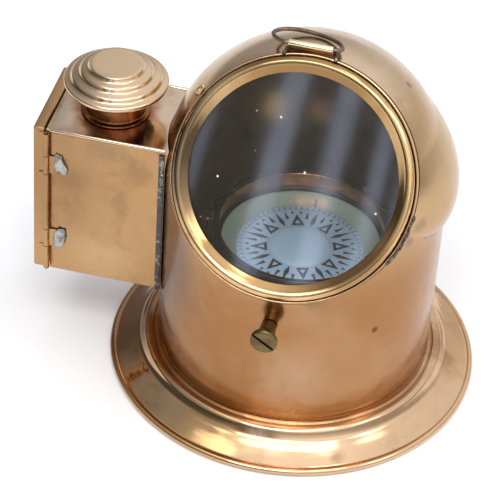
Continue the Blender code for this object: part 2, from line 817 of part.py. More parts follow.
def make_lamp_house_top():
    low = HOUSE_TOP_Z - SHEET
    obj = box(
        "lamp_house_top",
        (HOUSE_END_X, -HOUSE_HALF_Y, low),
        (-0.060, HOUSE_HALF_Y, HOUSE_TOP_Z),
        BROWN_BRASS,
    )
    bead = [(0.0, 0.0), (EDGE_BEAD_R, 0.0), (EDGE_BEAD_R, 0.065), (0.0, 0.065)]
    for side in (-1.0, 1.0):
        spot = (HOUSE_END_X, side * (HOUSE_HALF_Y - 0.0001), HOUSE_TOP_Z - 0.0004)
        join(obj, turned("edge_bead", bead, 8, None, along((1.0, 0.0, 0.0), spot)))
    cut(obj, hood_cutter("top_trim"))
    drill(obj, (0.0, 0.0, 1.0), (CHIMNEY_X, 0.0, 0.0), NECK_IN_R, 0.140, 0.160, 28)


def make_lamp_seams():
    inner_x = -math.sqrt(HOOD_CLEAR_R ** 2 - HOUSE_HALF_Y ** 2) - 0.0003
    near = HOUSE_HALF_Y + GAP
    for name, side in (("lamp_seam_front", -1.0), ("lamp_seam_rear", 1.0)):
        ys = sorted((side * near, side * (near + STRIP_H)))
        top = HOUSE_TOP_Z - 0.0030
        box(name, (inner_x - STRIP_W, ys[0], HOUSE_BOTTOM_Z), (inner_x, ys[1], top), AGED_BRASS)


def make_door_spigot():
    obj = box(
        "door_spigot",
        (SPIGOT_OUT_X, -SPIGOT_HALF_Y, SPIGOT_BOTTOM_Z),
        (SPIGOT_IN_X, SPIGOT_HALF_Y, SPIGOT_TOP_Z),
        LAMP_BRASS,
    )
    inside = SPIGOT_HALF_Y - 0.0010
    low = (SPIGOT_OUT_X - 0.01, -inside, SPIGOT_BOTTOM_Z + 0.0010)
    high = (SPIGOT_IN_X + 0.01, inside, SPIGOT_TOP_Z - 0.0010)
    cut(obj, finish("spigot_hollow", box_mesh(low, high), None))


def knuckle(name, low, high, spec):
    profile = [
        (KNUCKLE_OUT_R, high),
        (KNUCKLE_OUT_R, low),
        (KNUCKLE_IN_R, low),
        (KNUCKLE_IN_R, high),
    ]
    return turned(name, profile, 10, spec, at(HINGE_X, HINGE_Y, 0.0))


def door_knuckle_spans():
    half = LEAF_H / 2.0 + GAP
    edges = [HOUSE_BOTTOM_Z + 0.0012]
    for z in HINGE_ZS:
        edges += [z - half, z + half]
    edges.append(HOUSE_TOP_Z - 0.0022)
    return list(zip(edges[0::2], edges[1::2]))


def make_lamp_door():
    obj = box(
        "lamp_door",
        (DOOR_OUT_X, -HOUSE_HALF_Y, HOUSE_BOTTOM_Z),
        (DOOR_LIP_X, HOUSE_HALF_Y, HOUSE_TOP_Z),
        LAMP_BRASS,
        0.0005,
    )
    inside = HOUSE_HALF_Y - 0.0009
    low = (DOOR_OUT_X + 0.0010, -inside, HOUSE_BOTTOM_Z + 0.0009)
    high = (0.0, inside, HOUSE_TOP_Z - 0.0009)
    cut(obj, finish("door_hollow", box_mesh(low, high), None))
    for low_z, high_z in door_knuckle_spans():
        tab_low = (DOOR_LIP_X - 0.0030, -HOUSE_HALF_Y - 0.0008, low_z)
        tab_high = (HINGE_X - KNUCKLE_IN_R - 0.0002, -HOUSE_HALF_Y + 0.0004, high_z)
        tab = box_mesh(tab_low, tab_high)
        join(obj, finish("door_tab", tab, None))
        join(obj, knuckle("door_knuckle", low_z, high_z, None))
    move_origin(obj, (HINGE_X, HINGE_Y, (HOUSE_TOP_Z + HOUSE_BOTTOM_Z) / 2.0))


def make_door_hinge_pin():
    profile = [
        (0.0, HOUSE_TOP_Z - 0.0010),
        (HINGE_PIN_R, HOUSE_TOP_Z - 0.0010),
        (HINGE_PIN_R, HOUSE_BOTTOM_Z),
        (0.0, HOUSE_BOTTOM_Z),
    ]
    turned("door_hinge_pin", profile, 8, AGED_BRASS, at(HINGE_X, HINGE_Y, 0.0))


def make_hinge_leaves():
    for name, z in zip(("hinge_leaf_lower", "hinge_leaf_upper"), HINGE_ZS):
        low_z = z - LEAF_H / 2.0
        high_z = z + LEAF_H / 2.0
        obj = knuckle(name, low_z, high_z, AGED_BRASS)
        back = -HOUSE_HALF_Y - GAP
        leaf_low = (HINGE_X + KNUCKLE_IN_R + 0.0002, back - 0.0008, low_z)
        leaf_high = (HINGE_X + LEAF_W + 0.0015, back, high_z)
        leaf = box_mesh(leaf_low, leaf_high)
        join(obj, finish(name + "_plate", leaf, None))


# Light port


def make_port_frame():
    lip = PORT_IN_R - 0.0014
    profile = [
        (PORT_OUT_R, -PORT_IN_X),
        (lip, -PORT_IN_X),
        (lip, -PORT_IN_X + 0.0012),
        (PORT_IN_R, -PORT_IN_X + 0.0012),
        (PORT_IN_R, -PORT_OUT_X),
        (PORT_OUT_R, -PORT_OUT_X),
    ]
    turned("port_frame", profile, 24, LAMP_BRASS, along((-1.0, 0.0, 0.0), (0.0, 0.0, PORT_Z)))


def make_port_glass():
    radius = PORT_IN_R - GAP
    low = -PORT_IN_X + 0.0012 + GAP
    profile = [(0.0, low + 0.0018), (radius, low + 0.0018), (radius, low), (0.0, low)]
    turned("port_glass", profile, 24, CLEAR_GLASS, along((-1.0, 0.0, 0.0), (0.0, 0.0, PORT_Z)))


# Chimney


def make_chimney_neck():
    low = HOUSE_TOP_Z + GAP
    profile = [
        (NECK_OUT_R, NECK_TOP_Z),
        (NECK_OUT_R, low + 0.0016),
        (NECK_FLANGE_R, low + 0.0010),
        (NECK_FLANGE_R, low),
        (NECK_IN_R, low),
        (NECK_IN_R, NECK_TOP_Z),
    ]
    turned("chimney_neck", profile, 28, BROWN_BRASS, at(CHIMNEY_X))


def cap_outline():
    """Outside of the stepped cap, from its crown to the rim."""
    return [
        (CAP_TOP_R - 0.0008, CAP_TOP_Z),
        (CAP_TOP_R, CAP_TOP_Z - 0.0006),
        (CAP_TOP_R + 0.0010, CAP_TOP_Z - 0.0024),
        (CAP_TOP_R + 0.0036, CAP_TOP_Z - 0.0032),
        (CAP_TOP_R + 0.0046, CAP_TOP_Z - 0.0040),
        (CAP_TOP_R + 0.0056, CAP_TOP_Z - 0.0058),
        (CAP_TOP_R + 0.0086, CAP_TOP_Z - 0.0068),
        (CAP_TOP_R + 0.0096, CAP_TOP_Z - 0.0076),
        (CAP_TOP_R + 0.0104, CAP_TOP_Z - 0.0092),
        (CAP_RIM_R - 0.0010, CAP_RIM_Z + 0.0008),
        (CAP_RIM_R, CAP_RIM_Z),
    ]


def make_chimney_cap():
    profile = [(0.0, CAP_TOP_Z)] + cap_outline()
    profile += [
        (CAP_RIM_R - 0.0006, CAP_RIM_Z - 0.0022),
        (CAP_RIM_R - 0.0036, CAP_RIM_Z - 0.0046),
        (CAP_RIM_R - 0.0086, CAP_RIM_Z - 0.0062),
        (CAP_RIM_R - 0.0090, CAP_RIM_Z - 0.0052),
        (CAP_RIM_R - 0.0042, CAP_RIM_Z - 0.0036),
        (CAP_RIM_R - 0.0020, CAP_RIM_Z - 0.0010),
    ]
    for radius, z in reversed(cap_outline()[:-2]):
        profile.append((max(radius - 0.0008, 0.0), z - 0.0010))
    profile.append((0.0, CAP_TOP_Z - 0.0010))
    obj = turned("chimney_cap", profile, 32, BRIGHT_BRASS, at(CHIMNEY_X))
    move_origin(obj, (CHIMNEY_X, 0.0, CAP_RIM_Z))


def make_cap_sleeve():
    high = CAP_TOP_Z - 0.0034
    profile = [
        (SLEEVE_OUT_R - 0.0003, high),
        (SLEEVE_OUT_R, SLEEVE_LOW_Z),
        (SLEEVE_IN_R, SLEEVE_LOW_Z),
        (SLEEVE_IN_R, high),
    ]
    obj = turned("cap_sleeve", profile, 24, BROWN_BRASS, at(CHIMNEY_X))
    for angle in (7.0, 52.0, 97.0, 142.0):
        turn = math.radians(angle)
        direction = (math.cos(turn), math.sin(turn), 0.0)
        drill(obj, direction, (CHIMNEY_X, 0.0, VENT_Z), VENT_R, -0.02, 0.02, 10)


# Oil lamp


def make_lamp_tank():
    profile = [
        (0.0, TANK_TOP_Z),
        (0.0085, TANK_TOP_Z),
        (TANK_R - 0.0050, TANK_SIDE_Z + 0.0022),
        (TANK_R, TANK_SIDE_Z),
        (TANK_R, TANK_LOW_Z + 0.0010),
        (TANK_R - 0.0010, TANK_LOW_Z),
        (0.0, TANK_LOW_Z),
    ]
    turned("lamp_tank", profile, 24, LAMP_BRASS, at(CHIMNEY_X))


def make_lamp_filler_cap():
    low = TANK_SIDE_Z + 0.0050
    profile = [
        (0.0, low + 0.0040),
        (0.0030, low + 0.0040),
        (0.0036, low + 0.0032),
        (0.0036, low),
        (0.0, low),
    ]
    turned("lamp_filler_cap", profile, 12, LAMP_BRASS, at(CHIMNEY_X, -0.0150))


def make_burner():
    profile = [
        (0.0, BURNER_TOP_Z),
        (0.0062, BURNER_TOP_Z),
        (BURNER_R, BURNER_TOP_Z - 0.0035),
        (BURNER_R, BURNER_Z + 0.0010),
        (0.0080, BURNER_Z),
        (0.0, BURNER_Z),
    ]
    turned("lamp_burner", profile, 20, LAMP_BRASS, at(CHIMNEY_X))


def make_wick_tube():
    low = BURNER_TOP_Z + GAP
    bore = WICK_R + GAP
    profile = [
        (WICK_TUBE_R, WICK_TUBE_TOP_Z),
        (WICK_TUBE_R, low),
        (bore, low),
        (bore, WICK_TUBE_TOP_Z),
    ]
    obj = turned("wick_tube", profile, 14, BROWN_BRASS, at(CHIMNEY_X))
    drill(obj, (-1.0, 0.0, 0.0), (CHIMNEY_X, 0.0, KNOB_Z), 0.0012, 0.0032, 0.0060, 12)


def make_wick():
    low = BURNER_TOP_Z + GAP
    profile = [(0.0, WICK_TOP_Z), (WICK_R - 0.0004, WICK_TOP_Z), (WICK_R, WICK_TOP_Z - 0.0004), (WICK_R, low), (0.0, low)]
    obj = turned("wick", profile, 10, WICK_COTTON, at(CHIMNEY_X))
    move_origin(obj, (CHIMNEY_X, 0.0, WICK_TUBE_TOP_Z))


def make_wick_knob():
    start = WICK_R + 0.0004
    profile = [
        (0.0, 0.0205),
        (KNOB_R - 0.0004, 0.0205),
        (KNOB_R, 0.0201),
        (KNOB_R, 0.0183),
        (KNOB_R - 0.0004, 0.0179),
        (0.0008, 0.0179),
        (0.0008, start),
        (0.0, start),
    ]
    obj = turned("wick_knob", profile, 14, AGED_BRASS, along((-1.0, 0.0, 0.0), (CHIMNEY_X, 0.0, KNOB_Z)))
    move_origin(obj, (CHIMNEY_X - 0.0190, 0.0, KNOB_Z))


def main():
    clear_scene()
    make_base_flange()
    make_base_plate()
    make_hood_shell()
    make_window_collar()
    make_window_seal()
    make_window_glass()
    make_window_bezel()
    make_bail_bracket()
    make_bail_ring()
    make_pivot_screws()
    make_pivot_bosses()
    make_gimbal_ring()
    make_inner_pivots()
    make_compass_bowl()
    make_bowl_weight()
    make_bowl_bezel()
    make_bowl_glass()
    make_lubber_line()
    make_filler_plug()
    make_pivot_post()
    make_compass_card()
    make_card_float()
    make_card_boss()
    make_magnets()
    make_lamp_house_walls()
    make_lamp_house_top()
    make_lamp_seams()
    make_door_spigot()
    make_lamp_door()
    make_door_hinge_pin()
    make_hinge_leaves()
    make_port_frame()
    make_port_glass()
    make_chimney_neck()
    make_chimney_cap()
    make_cap_sleeve()
    make_lamp_tank()
    make_lamp_filler_cap()
    make_burner()
    make_wick_tube()
    make_wick()
    make_wick_knob()


main()
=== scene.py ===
"""Boat binnacle compass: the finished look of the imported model, with camera, floor and light."""

import math
import random

import bmesh
import bpy
from mathutils import Matrix, Vector, noise


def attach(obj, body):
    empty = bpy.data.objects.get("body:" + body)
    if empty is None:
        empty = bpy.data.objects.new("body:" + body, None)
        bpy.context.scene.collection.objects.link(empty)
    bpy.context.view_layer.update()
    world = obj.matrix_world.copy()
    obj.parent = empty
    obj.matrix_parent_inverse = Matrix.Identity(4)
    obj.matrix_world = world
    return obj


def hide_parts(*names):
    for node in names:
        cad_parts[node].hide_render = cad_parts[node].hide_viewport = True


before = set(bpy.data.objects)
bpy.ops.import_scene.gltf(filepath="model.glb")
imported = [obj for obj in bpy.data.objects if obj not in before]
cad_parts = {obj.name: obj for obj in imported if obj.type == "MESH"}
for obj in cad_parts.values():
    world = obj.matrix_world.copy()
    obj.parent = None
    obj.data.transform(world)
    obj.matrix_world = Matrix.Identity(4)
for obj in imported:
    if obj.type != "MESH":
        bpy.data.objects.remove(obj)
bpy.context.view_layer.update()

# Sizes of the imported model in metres.

HOOD_R = 0.0778
SHEET = 0.0012
DOME_Z = 0.1327
LEDGE_Z = 0.0165
FOOT_Z = 0.0168
WINDOW = Vector((0.0, -0.0422, 0.1578))
TILT = math.radians(55.6)
GIMBAL_Z = 0.0846
CHIMNEY_X = -0.1086
CAP_TOP = 0.1806
HOUSE_Y = 0.029
HOUSE_TOP = 0.1496
HOUSE_LOW = 0.0513
HOUSE_END = -0.1378
HOUSE_FRONT = -HOUSE_Y - 0.0003
HINGE = (-0.1392, -0.0302)
PORT_Z = 0.1
BAIL = Vector((-0.0032, 0.0, 0.2144))
BAIL_REST = math.radians(-13.8)
CARD_HEADING = 16.5
CARD_TOP = 0.0775
HOOD_TRIM_R = HOOD_R + 0.0005
SEAM_X = -math.sqrt(HOOD_TRIM_R ** 2 - HOUSE_Y ** 2)
BOX_INNER_END = -0.06
HINGE_HEIGHTS = (("lower", 0.0747), ("upper", 0.1262))
HINGE_HALF = 0.006
DOOR_SHEET = 0.0009
SCREW_FACE = 0.0923
WICK_AXIS_Z = 0.0925
BOTH_SIDES = (-1.0, 1.0)
ON_AXIS = 1e-7
FLOOR_Z = -0.0002
LIGHT_TARGET = Vector((0.0, 0.0, 0.1))
# The direction that the window pane mirrors.
PANE_FACES = (-0.167, -0.859, 0.485)


# Mesh helpers


def at(x, y=0.0, z=0.0):
    return Matrix.Translation((x, y, z))


def along(axis, origin):
    z = Vector(axis).normalized()
    side = Vector((0.0, 0.0, 1.0)) if abs(z.z) < 0.9 else Vector((1.0, 0.0, 0.0))
    x = side.cross(z).normalized()
    y = z.cross(x)
    return Matrix.Translation(Vector(origin)) @ Matrix((x, y, z)).transposed().to_4x4()


def polar(r, turn, z=0.0):
    return Vector((r * math.cos(turn), r * math.sin(turn), z))


def window_frame():
    return along((0.0, -math.sin(TILT), math.cos(TILT)), WINDOW)


def fillet(points, radius, count, closed=False):
    """Round each corner of a profile of (radius, height) points."""
    total = len(points)
    made = []
    for i, point in enumerate(points):
        here = Vector(point)
        if not closed and i in (0, total - 1):
            made.append(point)
            continue
        before = Vector(points[i - 1])
        after = Vector(points[(i + 1) % total])
        a = before - here
        b = after - here
        reach = min(radius, a.length * 0.45, b.length * 0.45)
        start = here + a.normalized() * reach
        end = here + b.normalized() * reach
        for k in range(count + 1):
            t = k / count
            spot = start * (1 - t) ** 2 + here * (2 * t * (1 - t)) + end * t ** 2
            made.append((spot.x, spot.y))
    return made


def arc(r, z, radius, start, end, count):
    made = []
    for i in range(count + 1):
        turn = math.radians(start + (end - start) * i / count)
        made.append((r + radius * math.cos(turn), z + radius * math.sin(turn)))
    return made


def bands(bm, low, high):
    """Join two rings of vertices with faces. A ring of one vertex is a pole."""
    steps = max(len(low), len(high))
    if steps == 1:
        return
    for i in range(steps):
        j = (i + 1) % steps
        if len(low) == 1:
            bm.faces.new((low[0], high[i], high[j]))
        elif len(high) == 1:
            bm.faces.new((low[i], low[j], high[0]))
        else:
            bm.faces.new((low[i], low[j], high[j], high[i]))


def join_rings(bm, rings, closed):
    """Join each ring to the next, and the last to the first if closed."""
    for low, high in zip(rings, rings[1:]):
        bands(bm, low, high)
    if closed:
        bands(bm, rings[-1], rings[0])


def lathe(profile, steps, place=None):
    """A bmesh turned from (radius, height) points about the Z of the place matrix."""
    place = place or Matrix()
    bm = bmesh.new()
    turns = [2.0 * math.pi * i / steps for i in range(steps)]
    rings = []
    for r, z in profile:
        if r <= ON_AXIS:
            rings.append([bm.verts.new(place @ Vector((0.0, 0.0, z)))])
        else:
            rings.append([bm.verts.new(place @ polar(r, turn, z)) for turn in turns])
    join_rings(bm, rings, profile[0][0] > ON_AXIS)
    return bm


def cuboid(low, high, bevel=0.0, segments=3):
    bm = bmesh.new()
    bmesh.ops.create_cube(bm, size=1.0)
    centre = (Vector(low) + Vector(high)) / 2.0
    size = Vector(high) - Vector(low)
    for vert in bm.verts:
        vert.co = Vector(a * b for a, b in zip(vert.co, size)) + centre
    if bevel:
        bmesh.ops.bevel(
            bm, geom=list(bm.edges), offset=bevel, segments=segments, affect="EDGES", profile=0.5,
        )
    return bm


def bare(name, bm):
    bmesh.ops.recalc_face_normals(bm, faces=bm.faces)
    mesh = bpy.data.meshes.new(name)
    bm.to_mesh(mesh)
    bm.free()
    obj = bpy.data.objects.new(name, mesh)
    bpy.context.scene.collection.objects.link(obj)
    return obj


def piece(name, bm, mat, node=None, body="binnacle", angle=40.0):
    obj = bare(name, bm)
    dress(obj, mat, node, body, angle)
    return obj


def dress(obj, mat, node, body="binnacle", angle=40.0):
    """Give the object its material and body, and hide the imported part of the node that it stands for."""
    obj.data.materials.clear()
    obj.data.materials.append(mat)
    obj.data.shade_smooth()
    obj.data.set_sharp_from_angle(angle=math.radians(angle))
    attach(obj, body)
    if node:
        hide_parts(node)


def repaint(obj, mat, chosen):
    """Give the faces that pass a test a second material."""
    obj.data.materials.append(mat)
    for face in obj.data.polygons:
        if chosen(face):
            face.material_index = 1


def combine(obj, others, operation="DIFFERENCE"):
    """Apply Booleans at once and remove the other solids."""
    for other in others:
        modifier = obj.modifiers.new("cut", "BOOLEAN")
        modifier.operation = operation
        modifier.solver = "EXACT"
        modifier.object = other
    graph = bpy.context.evaluated_depsgraph_get()
    graph.update()
    mesh = bpy.data.meshes.new_from_object(obj.evaluated_get(graph))
    old = obj.data
    obj.modifiers.clear()
    obj.data = mesh
    bpy.data.meshes.remove(old)
    for other in others:
        bpy.data.objects.remove(other, do_unlink=True)


def rod(axis, origin, radius, low, high, steps):
    profile = [(0.0, high), (radius, high), (radius, low), (0.0, low)]
    return bare("cutter", lathe(profile, steps, along(axis, origin)))


def sweep(points, radii, sides, closed=True):
    """A wire: one circle section at each centre point."""
    bm = bmesh.new()
    rings = []
    count = len(points)
    normal = Vector((0.0, 0.0, 1.0))
    for i, point in enumerate(points):
        before = Vector(points[i - 1] if closed or i else points[i])
        after = Vector(points[(i + 1) % count] if closed or i < count - 1 else points[i])
        tangent = (after - before).normalized()
        side = normal.cross(tangent)
        if side.length < 1e-4:
            side = Vector((1.0, 0.0, 0.0))
        side.normalize()
        up = tangent.cross(side)
        radius = radii[i] if isinstance(radii, list) else radii
        ring = []
        for k in range(sides):
            turn = 2.0 * math.pi * k / sides
            offset = side * math.cos(turn) + up * math.sin(turn)
            ring.append(bm.verts.new(Vector(point) + offset * radius))
        rings.append(ring)
    join_rings(bm, rings, closed)
    if not closed:
        bm.faces.new(list(reversed(rings[0])))
        bm.faces.new(rings[-1])
    return bm


# Materials


class Graph:
    """A short way to write the nodes of a tree."""

    def __init__(self, tree, space):
        self.tree = tree
        self.coords = tree.nodes.new("ShaderNodeTexCoord").outputs[space]

    def fill(self, socket, value):
        """Set an input to a number, vector or colour, or link it to another node's output."""
        if isinstance(value, bpy.types.NodeSocket):
            self.tree.links.new(value, socket)
        elif socket.type == "RGBA":
            socket.default_value = (*value, 1.0)
        else:
            socket.default_value = value

    def add(self, kind, inputs, **settings):
        node = self.tree.nodes.new("ShaderNode" + kind)
        for name, value in settings.items():
            setattr(node, name, value)
        for key, value in inputs.items():
            self.fill(node.inputs[key], value)
        return node

    def noise(self, scale, detail=4.0, rough=0.55, distortion=0.0, stretch=None):
        source = self.coords
        if stretch:
            source = self.add("Mapping", {"Vector": source, "Scale": stretch}).outputs["Vector"]
        grain = {"Scale": scale, "Detail": detail, "Roughness": rough, "Distortion": distortion}
        return self.add("TexNoise", {"Vector": source, **grain}).outputs["Fac"]

    def ramp(self, source, low, high, to_low=0.0, to_high=1.0):
        ends = {"From Min": low, "From Max": high, "To Min": to_low, "To Max": to_high}
        node = self.add("MapRange", {"Value": source, **ends}, interpolation_type="SMOOTHSTEP")
        return node.outputs["Result"]

    def math(self, kind, a, b):
        return self.add("Math", {0: a, 1: b}, operation=kind).outputs[0]

    def mix(self, factor, a, b):
        return self.add("Mix", {0: factor, 6: a, 7: b}, data_type="RGBA").outputs[2]

    def axis(self, name):
        return self.add("SeparateXYZ", {0: self.coords}).outputs[name]

    def near(self, spot, core, reach, ragged=0.0):
        """1 within the core of a spot, and 0 beyond its reach."""
        distance = self.add("VectorMath", {0: self.coords, 1: spot}, operation="DISTANCE").outputs["Value"]
        if ragged:
            shake = self.math("SUBTRACT", self.noise(120.0, 4.0, 0.6), 0.5)
            distance = self.math("ADD", distance, self.math("MULTIPLY", shake, ragged))
        return self.ramp(distance, core, reach, 1.0, 0.0)

    def marked(self, base, marks):
        """The base colour with each mark laid over it."""
        for spot, core, reach, ragged, share, tone in marks:
            cover = self.math("MULTIPLY", self.near(spot, core, reach, ragged), share)
            base = self.mix(cover, base, tone)
        return base

    def bump(self, height, distance, before=None):
        inputs = {"Strength": 1.0, "Distance": distance, "Height": height}
        if before:
            inputs["Normal"] = before
        return self.add("Bump", inputs).outputs["Normal"]

    def shaders(self, factor, one, two):
        return self.add("MixShader", {0: factor, 1: one, 2: two}).outputs[0]


class Skin(Graph):
    """The nodes of a new material, around its main shader."""

    def __init__(self, name):
        self.mat = bpy.data.materials.new(name)
        self.mat.use_nodes = True
        super().__init__(self.mat.node_tree, "Object")
        self.shader = self.tree.nodes["Principled BSDF"]

    def set(self, **values):
        """Fill the main shader's inputs with numbers or with other nodes."""
        for name, value in values.items():
            self.fill(self.shader.inputs[name.replace("_", " ").title()], value)


def metal(name, colour, stain, rough, stain_at, wave, scale, second=None, fine=0.00001, marks=()):
    """Worn polished metal, with stains, uneven sheen, hand-worked waves and fine rubbing marks.

    rough is the range of roughness, stain_at the noise range where a stain starts and fills, wave and
    fine the heights of the waves and of the rubbing, and scale the density of the stains.
    """
    g = Skin(name)
    blotch = g.noise(scale, 6.0, 0.62, 0.4)
    patch = g.ramp(blotch, *stain_at)
    base = g.mix(patch, colour, stain)
    if second:
        broad = g.ramp(g.noise(scale * 0.35, 3.0, 0.5), 0.38, 0.66)
        base = g.mix(g.math("MULTIPLY", broad, 0.8), base, second)
    speck = g.ramp(g.noise(scale * 9.0, 3.0, 0.6), 0.66, 0.8)
    base = g.mix(g.math("MULTIPLY", speck, 0.35), base, stain)
    sheen = g.ramp(g.noise(scale * 1.7, 5.0, 0.6), 0.35, 0.72, *rough)
    normal = g.bump(g.noise(14.0, 2.0, 0.5), wave)
    normal = g.bump(g.noise(700.0, 3.0, 0.6), fine, normal)
    g.set(base_color=g.marked(base, marks), metallic=1.0, roughness=sheen, normal=normal)
    return g.mat


# A mark: its centre, solid core, reach, raggedness, strength and colour.

HOOD_MARKS = [
    ((0.054, -0.056, 0.077), 0.0006, 0.0022, 0.004, 0.9, (0.1, 0.06, 0.03)),
    ((0.0227, -0.0744, 0.104), 0.002, 0.008, 0.01, 0.6, (0.24, 0.14, 0.08)),
    ((0.0316, -0.0711, 0.098), 0.002, 0.02, 0.016, 0.3, (0.36, 0.22, 0.12)),
    ((0.068, -0.037, 0.14), 0.001, 0.006, 0.008, 0.6, (0.2, 0.16, 0.12)),
    ((0.066, -0.041, 0.13), 0.0008, 0.005, 0.008, 0.6, (0.18, 0.14, 0.1)),
    ((0.0493, 0.0132, 0.1914), 0.0008, 0.003, 0.003, 0.7, (0.2, 0.12, 0.06)),
    ((0.0135, -0.0766, 0.047), 0.004, 0.028, 0.02, 0.25, (0.6, 0.44, 0.3)),
    ((-0.065, -0.015, 0.164), 0.004, 0.03, 0.02, 0.15, (0.3, 0.17, 0.07)),
    # Left, beside the lamp house: painted shade.
    ((-0.072, -0.03, 0.09), 0.02, 0.058, 0.03, 0.9, (0.2, 0.125, 0.08)),
]
BEZEL_MARKS = [
    # Inner slope all round: painted shade, as the ring's inner face lies in shade.
    ((0.0, -0.0422, 0.1578), 0.0599, 0.0607, 0.0, 0.5, (0.36, 0.19, 0.075)),
    # Top, under the bail: painted shade.
    ((0.0, -0.008, 0.2077), 0.02, 0.056, 0.01, 0.72, (0.22, 0.115, 0.04)),
    # Left side, towards the lamp house: painted shade.
    ((-0.0605, -0.0422, 0.1578), 0.012, 0.048, 0.01, 0.82, (0.13, 0.09, 0.06)),
    ((0.0428, -0.0664, 0.1225), 0.008, 0.032, 0.01, 0.66, (0.22, 0.11, 0.045)),
]
FLANGE_MARKS = [
    # Left, under the lamp house: painted shadow, the dark shade under the lamp house laid on the flange as
    # colour.
    ((-0.09, 0.01, 0.008), 0.025, 0.085, 0.03, 0.92, (0.2, 0.1, 0.05)),
    # Front left: a lighter golden patch, painted highlight.
    ((-0.03, -0.092, 0.008), 0.01, 0.03, 0.02, 0.45, (0.6, 0.36, 0.12)),
    ((0.045, -0.086, 0.008), 0.001, 0.007, 0.006, 0.7, (0.26, 0.13, 0.06)),
]
HOUSE_MARKS = [
    ((-0.108, -0.029, 0.142), 0.002, 0.015, 0.02, 0.6, (0.3, 0.2, 0.11)),
    ((-0.088, -0.029, 0.13), 0.002, 0.013, 0.02, 0.55, (0.28, 0.17, 0.08)),
    ((-0.127, -0.029, 0.118), 0.002, 0.014, 0.02, 0.55, (0.26, 0.16, 0.08)),
    ((-0.098, -0.029, 0.108), 0.001, 0.01, 0.016, 0.5, (0.26, 0.17, 0.09)),
    ((-0.112, -0.029, 0.08), 0.001, 0.008, 0.016, 0.4, (0.3, 0.18, 0.09)),
    ((-0.105, -0.029, 0.068), 0.004, 0.026, 0.02, 0.4, (0.68, 0.46, 0.25)),
    ((-0.147, -0.026, 0.125), 0.01, 0.07, 0.02, 0.6, (0.28, 0.15, 0.07)),
]
TOP_MARKS = [
    # Round the chimney base: heat browning, with a painted reflection of the cap's dark underside.
    ((-0.1086, 0.0, 0.1496), 0.018, 0.027, 0.008, 0.92, (0.3, 0.085, 0.03)),
    ((-0.076, -0.018, 0.1496), 0.004, 0.018, 0.02, 0.25, (0.26, 0.13, 0.06)),
]


def hood_copper():
    """Redder low down and paler on the dome, with a few brown marks; the broad dark one on the left, beside
    the lamp house, is painted shade.
    """
    g = Skin("hood_copper")
    height = g.ramp(g.axis("Z"), 0.095, 0.165)
    base = g.mix(height, (0.365, 0.175, 0.068), (0.56, 0.385, 0.205))
    crown = g.ramp(g.axis("Z"), 0.18, 0.206)
    base = g.mix(crown, base, (0.7, 0.54, 0.38))
    broad = g.ramp(g.noise(16.0, 4.0, 0.6, 0.6), 0.4, 0.7)
    base = g.mix(g.math("MULTIPLY", broad, 0.45), base, (0.52, 0.32, 0.18))
    stain = g.ramp(g.noise(34.0, 7.0, 0.66, 0.8), 0.54, 0.8)
    base = g.mix(g.math("MULTIPLY", stain, 0.6), base, (0.4, 0.22, 0.1))
    sheen = g.ramp(g.noise(40.0, 5.0, 0.6), 0.35, 0.72, 0.17, 0.3)
    normal = g.bump(g.noise(13.0, 2.0, 0.5), 0.0009)
    normal = g.bump(g.noise(48.0, 3.0, 0.5, 0.6), 0.00014, normal)
    normal = g.bump(g.noise(900.0, 2.0, 0.6, 0.0, (1.0, 1.0, 0.12)), 0.000008, normal)
    g.set(base_color=g.marked(base, HOOD_MARKS), metallic=1.0, roughness=sheen, normal=normal)
    return g.mat


def plain(name, colour, other, rough, metallic, scale, bump, coat=0.0):
    """Paint, card, lead, putty or cotton, mottled at the given scale and with a fine grain."""
    g = Skin(name)
    tone = g.ramp(g.noise(scale, 6.0, 0.6), 0.35, 0.7)
    sheen = g.ramp(g.noise(scale * 2.0, 4.0), 0.3, 0.7, rough - 0.06, rough + 0.08)
    grain = g.bump(g.noise(scale * 12.0, 3.0), bump)
    g.set(
        base_color=g.mix(tone, colour, other), roughness=sheen, normal=grain, metallic=metallic,
        coat_weight=coat,
    )
    return g.mat


def glass(name, tint, rough=0.02, specks=()):
    """Flat pane that lets light in and mirrors by its Fresnel share, with faint dust."""
    g = Skin(name)
    clear = g.add("BsdfTransparent", {"Color": tint})
    sheen = g.ramp(g.noise(30.0, 2.0, 0.5), 0.3, 0.7, rough, rough + 0.012)
    gloss = g.add("BsdfGlossy", {"Roughness": sheen})
    edge = g.math("POWER", g.add("LayerWeight", {"Blend": 0.5}).outputs["Facing"], 5.0)
    mirrored = g.math("ADD", g.math("MULTIPLY", edge, 0.9), 0.045)
    film = g.shaders(mirrored, clear.outputs[0], gloss.outputs[0])
    dust = g.add("BsdfDiffuse", {"Color": (0.85, 0.86, 0.84)})
    dusty = g.ramp(g.noise(420.0, 2.0, 0.5), 0.74, 0.8, 0.004, 0.6)
    for x, up in specks:
        spot = window_frame() @ Vector((x, up, -0.0016))
        dusty = g.math("MAXIMUM", dusty, g.near(spot, 0.0003, 0.0008))
    surface = g.tree.nodes["Material Output"].inputs["Surface"]
    g.fill(surface, g.shaders(dusty, film, dust.outputs[0]))
    g.tree.nodes.remove(g.shader)
    return g.mat


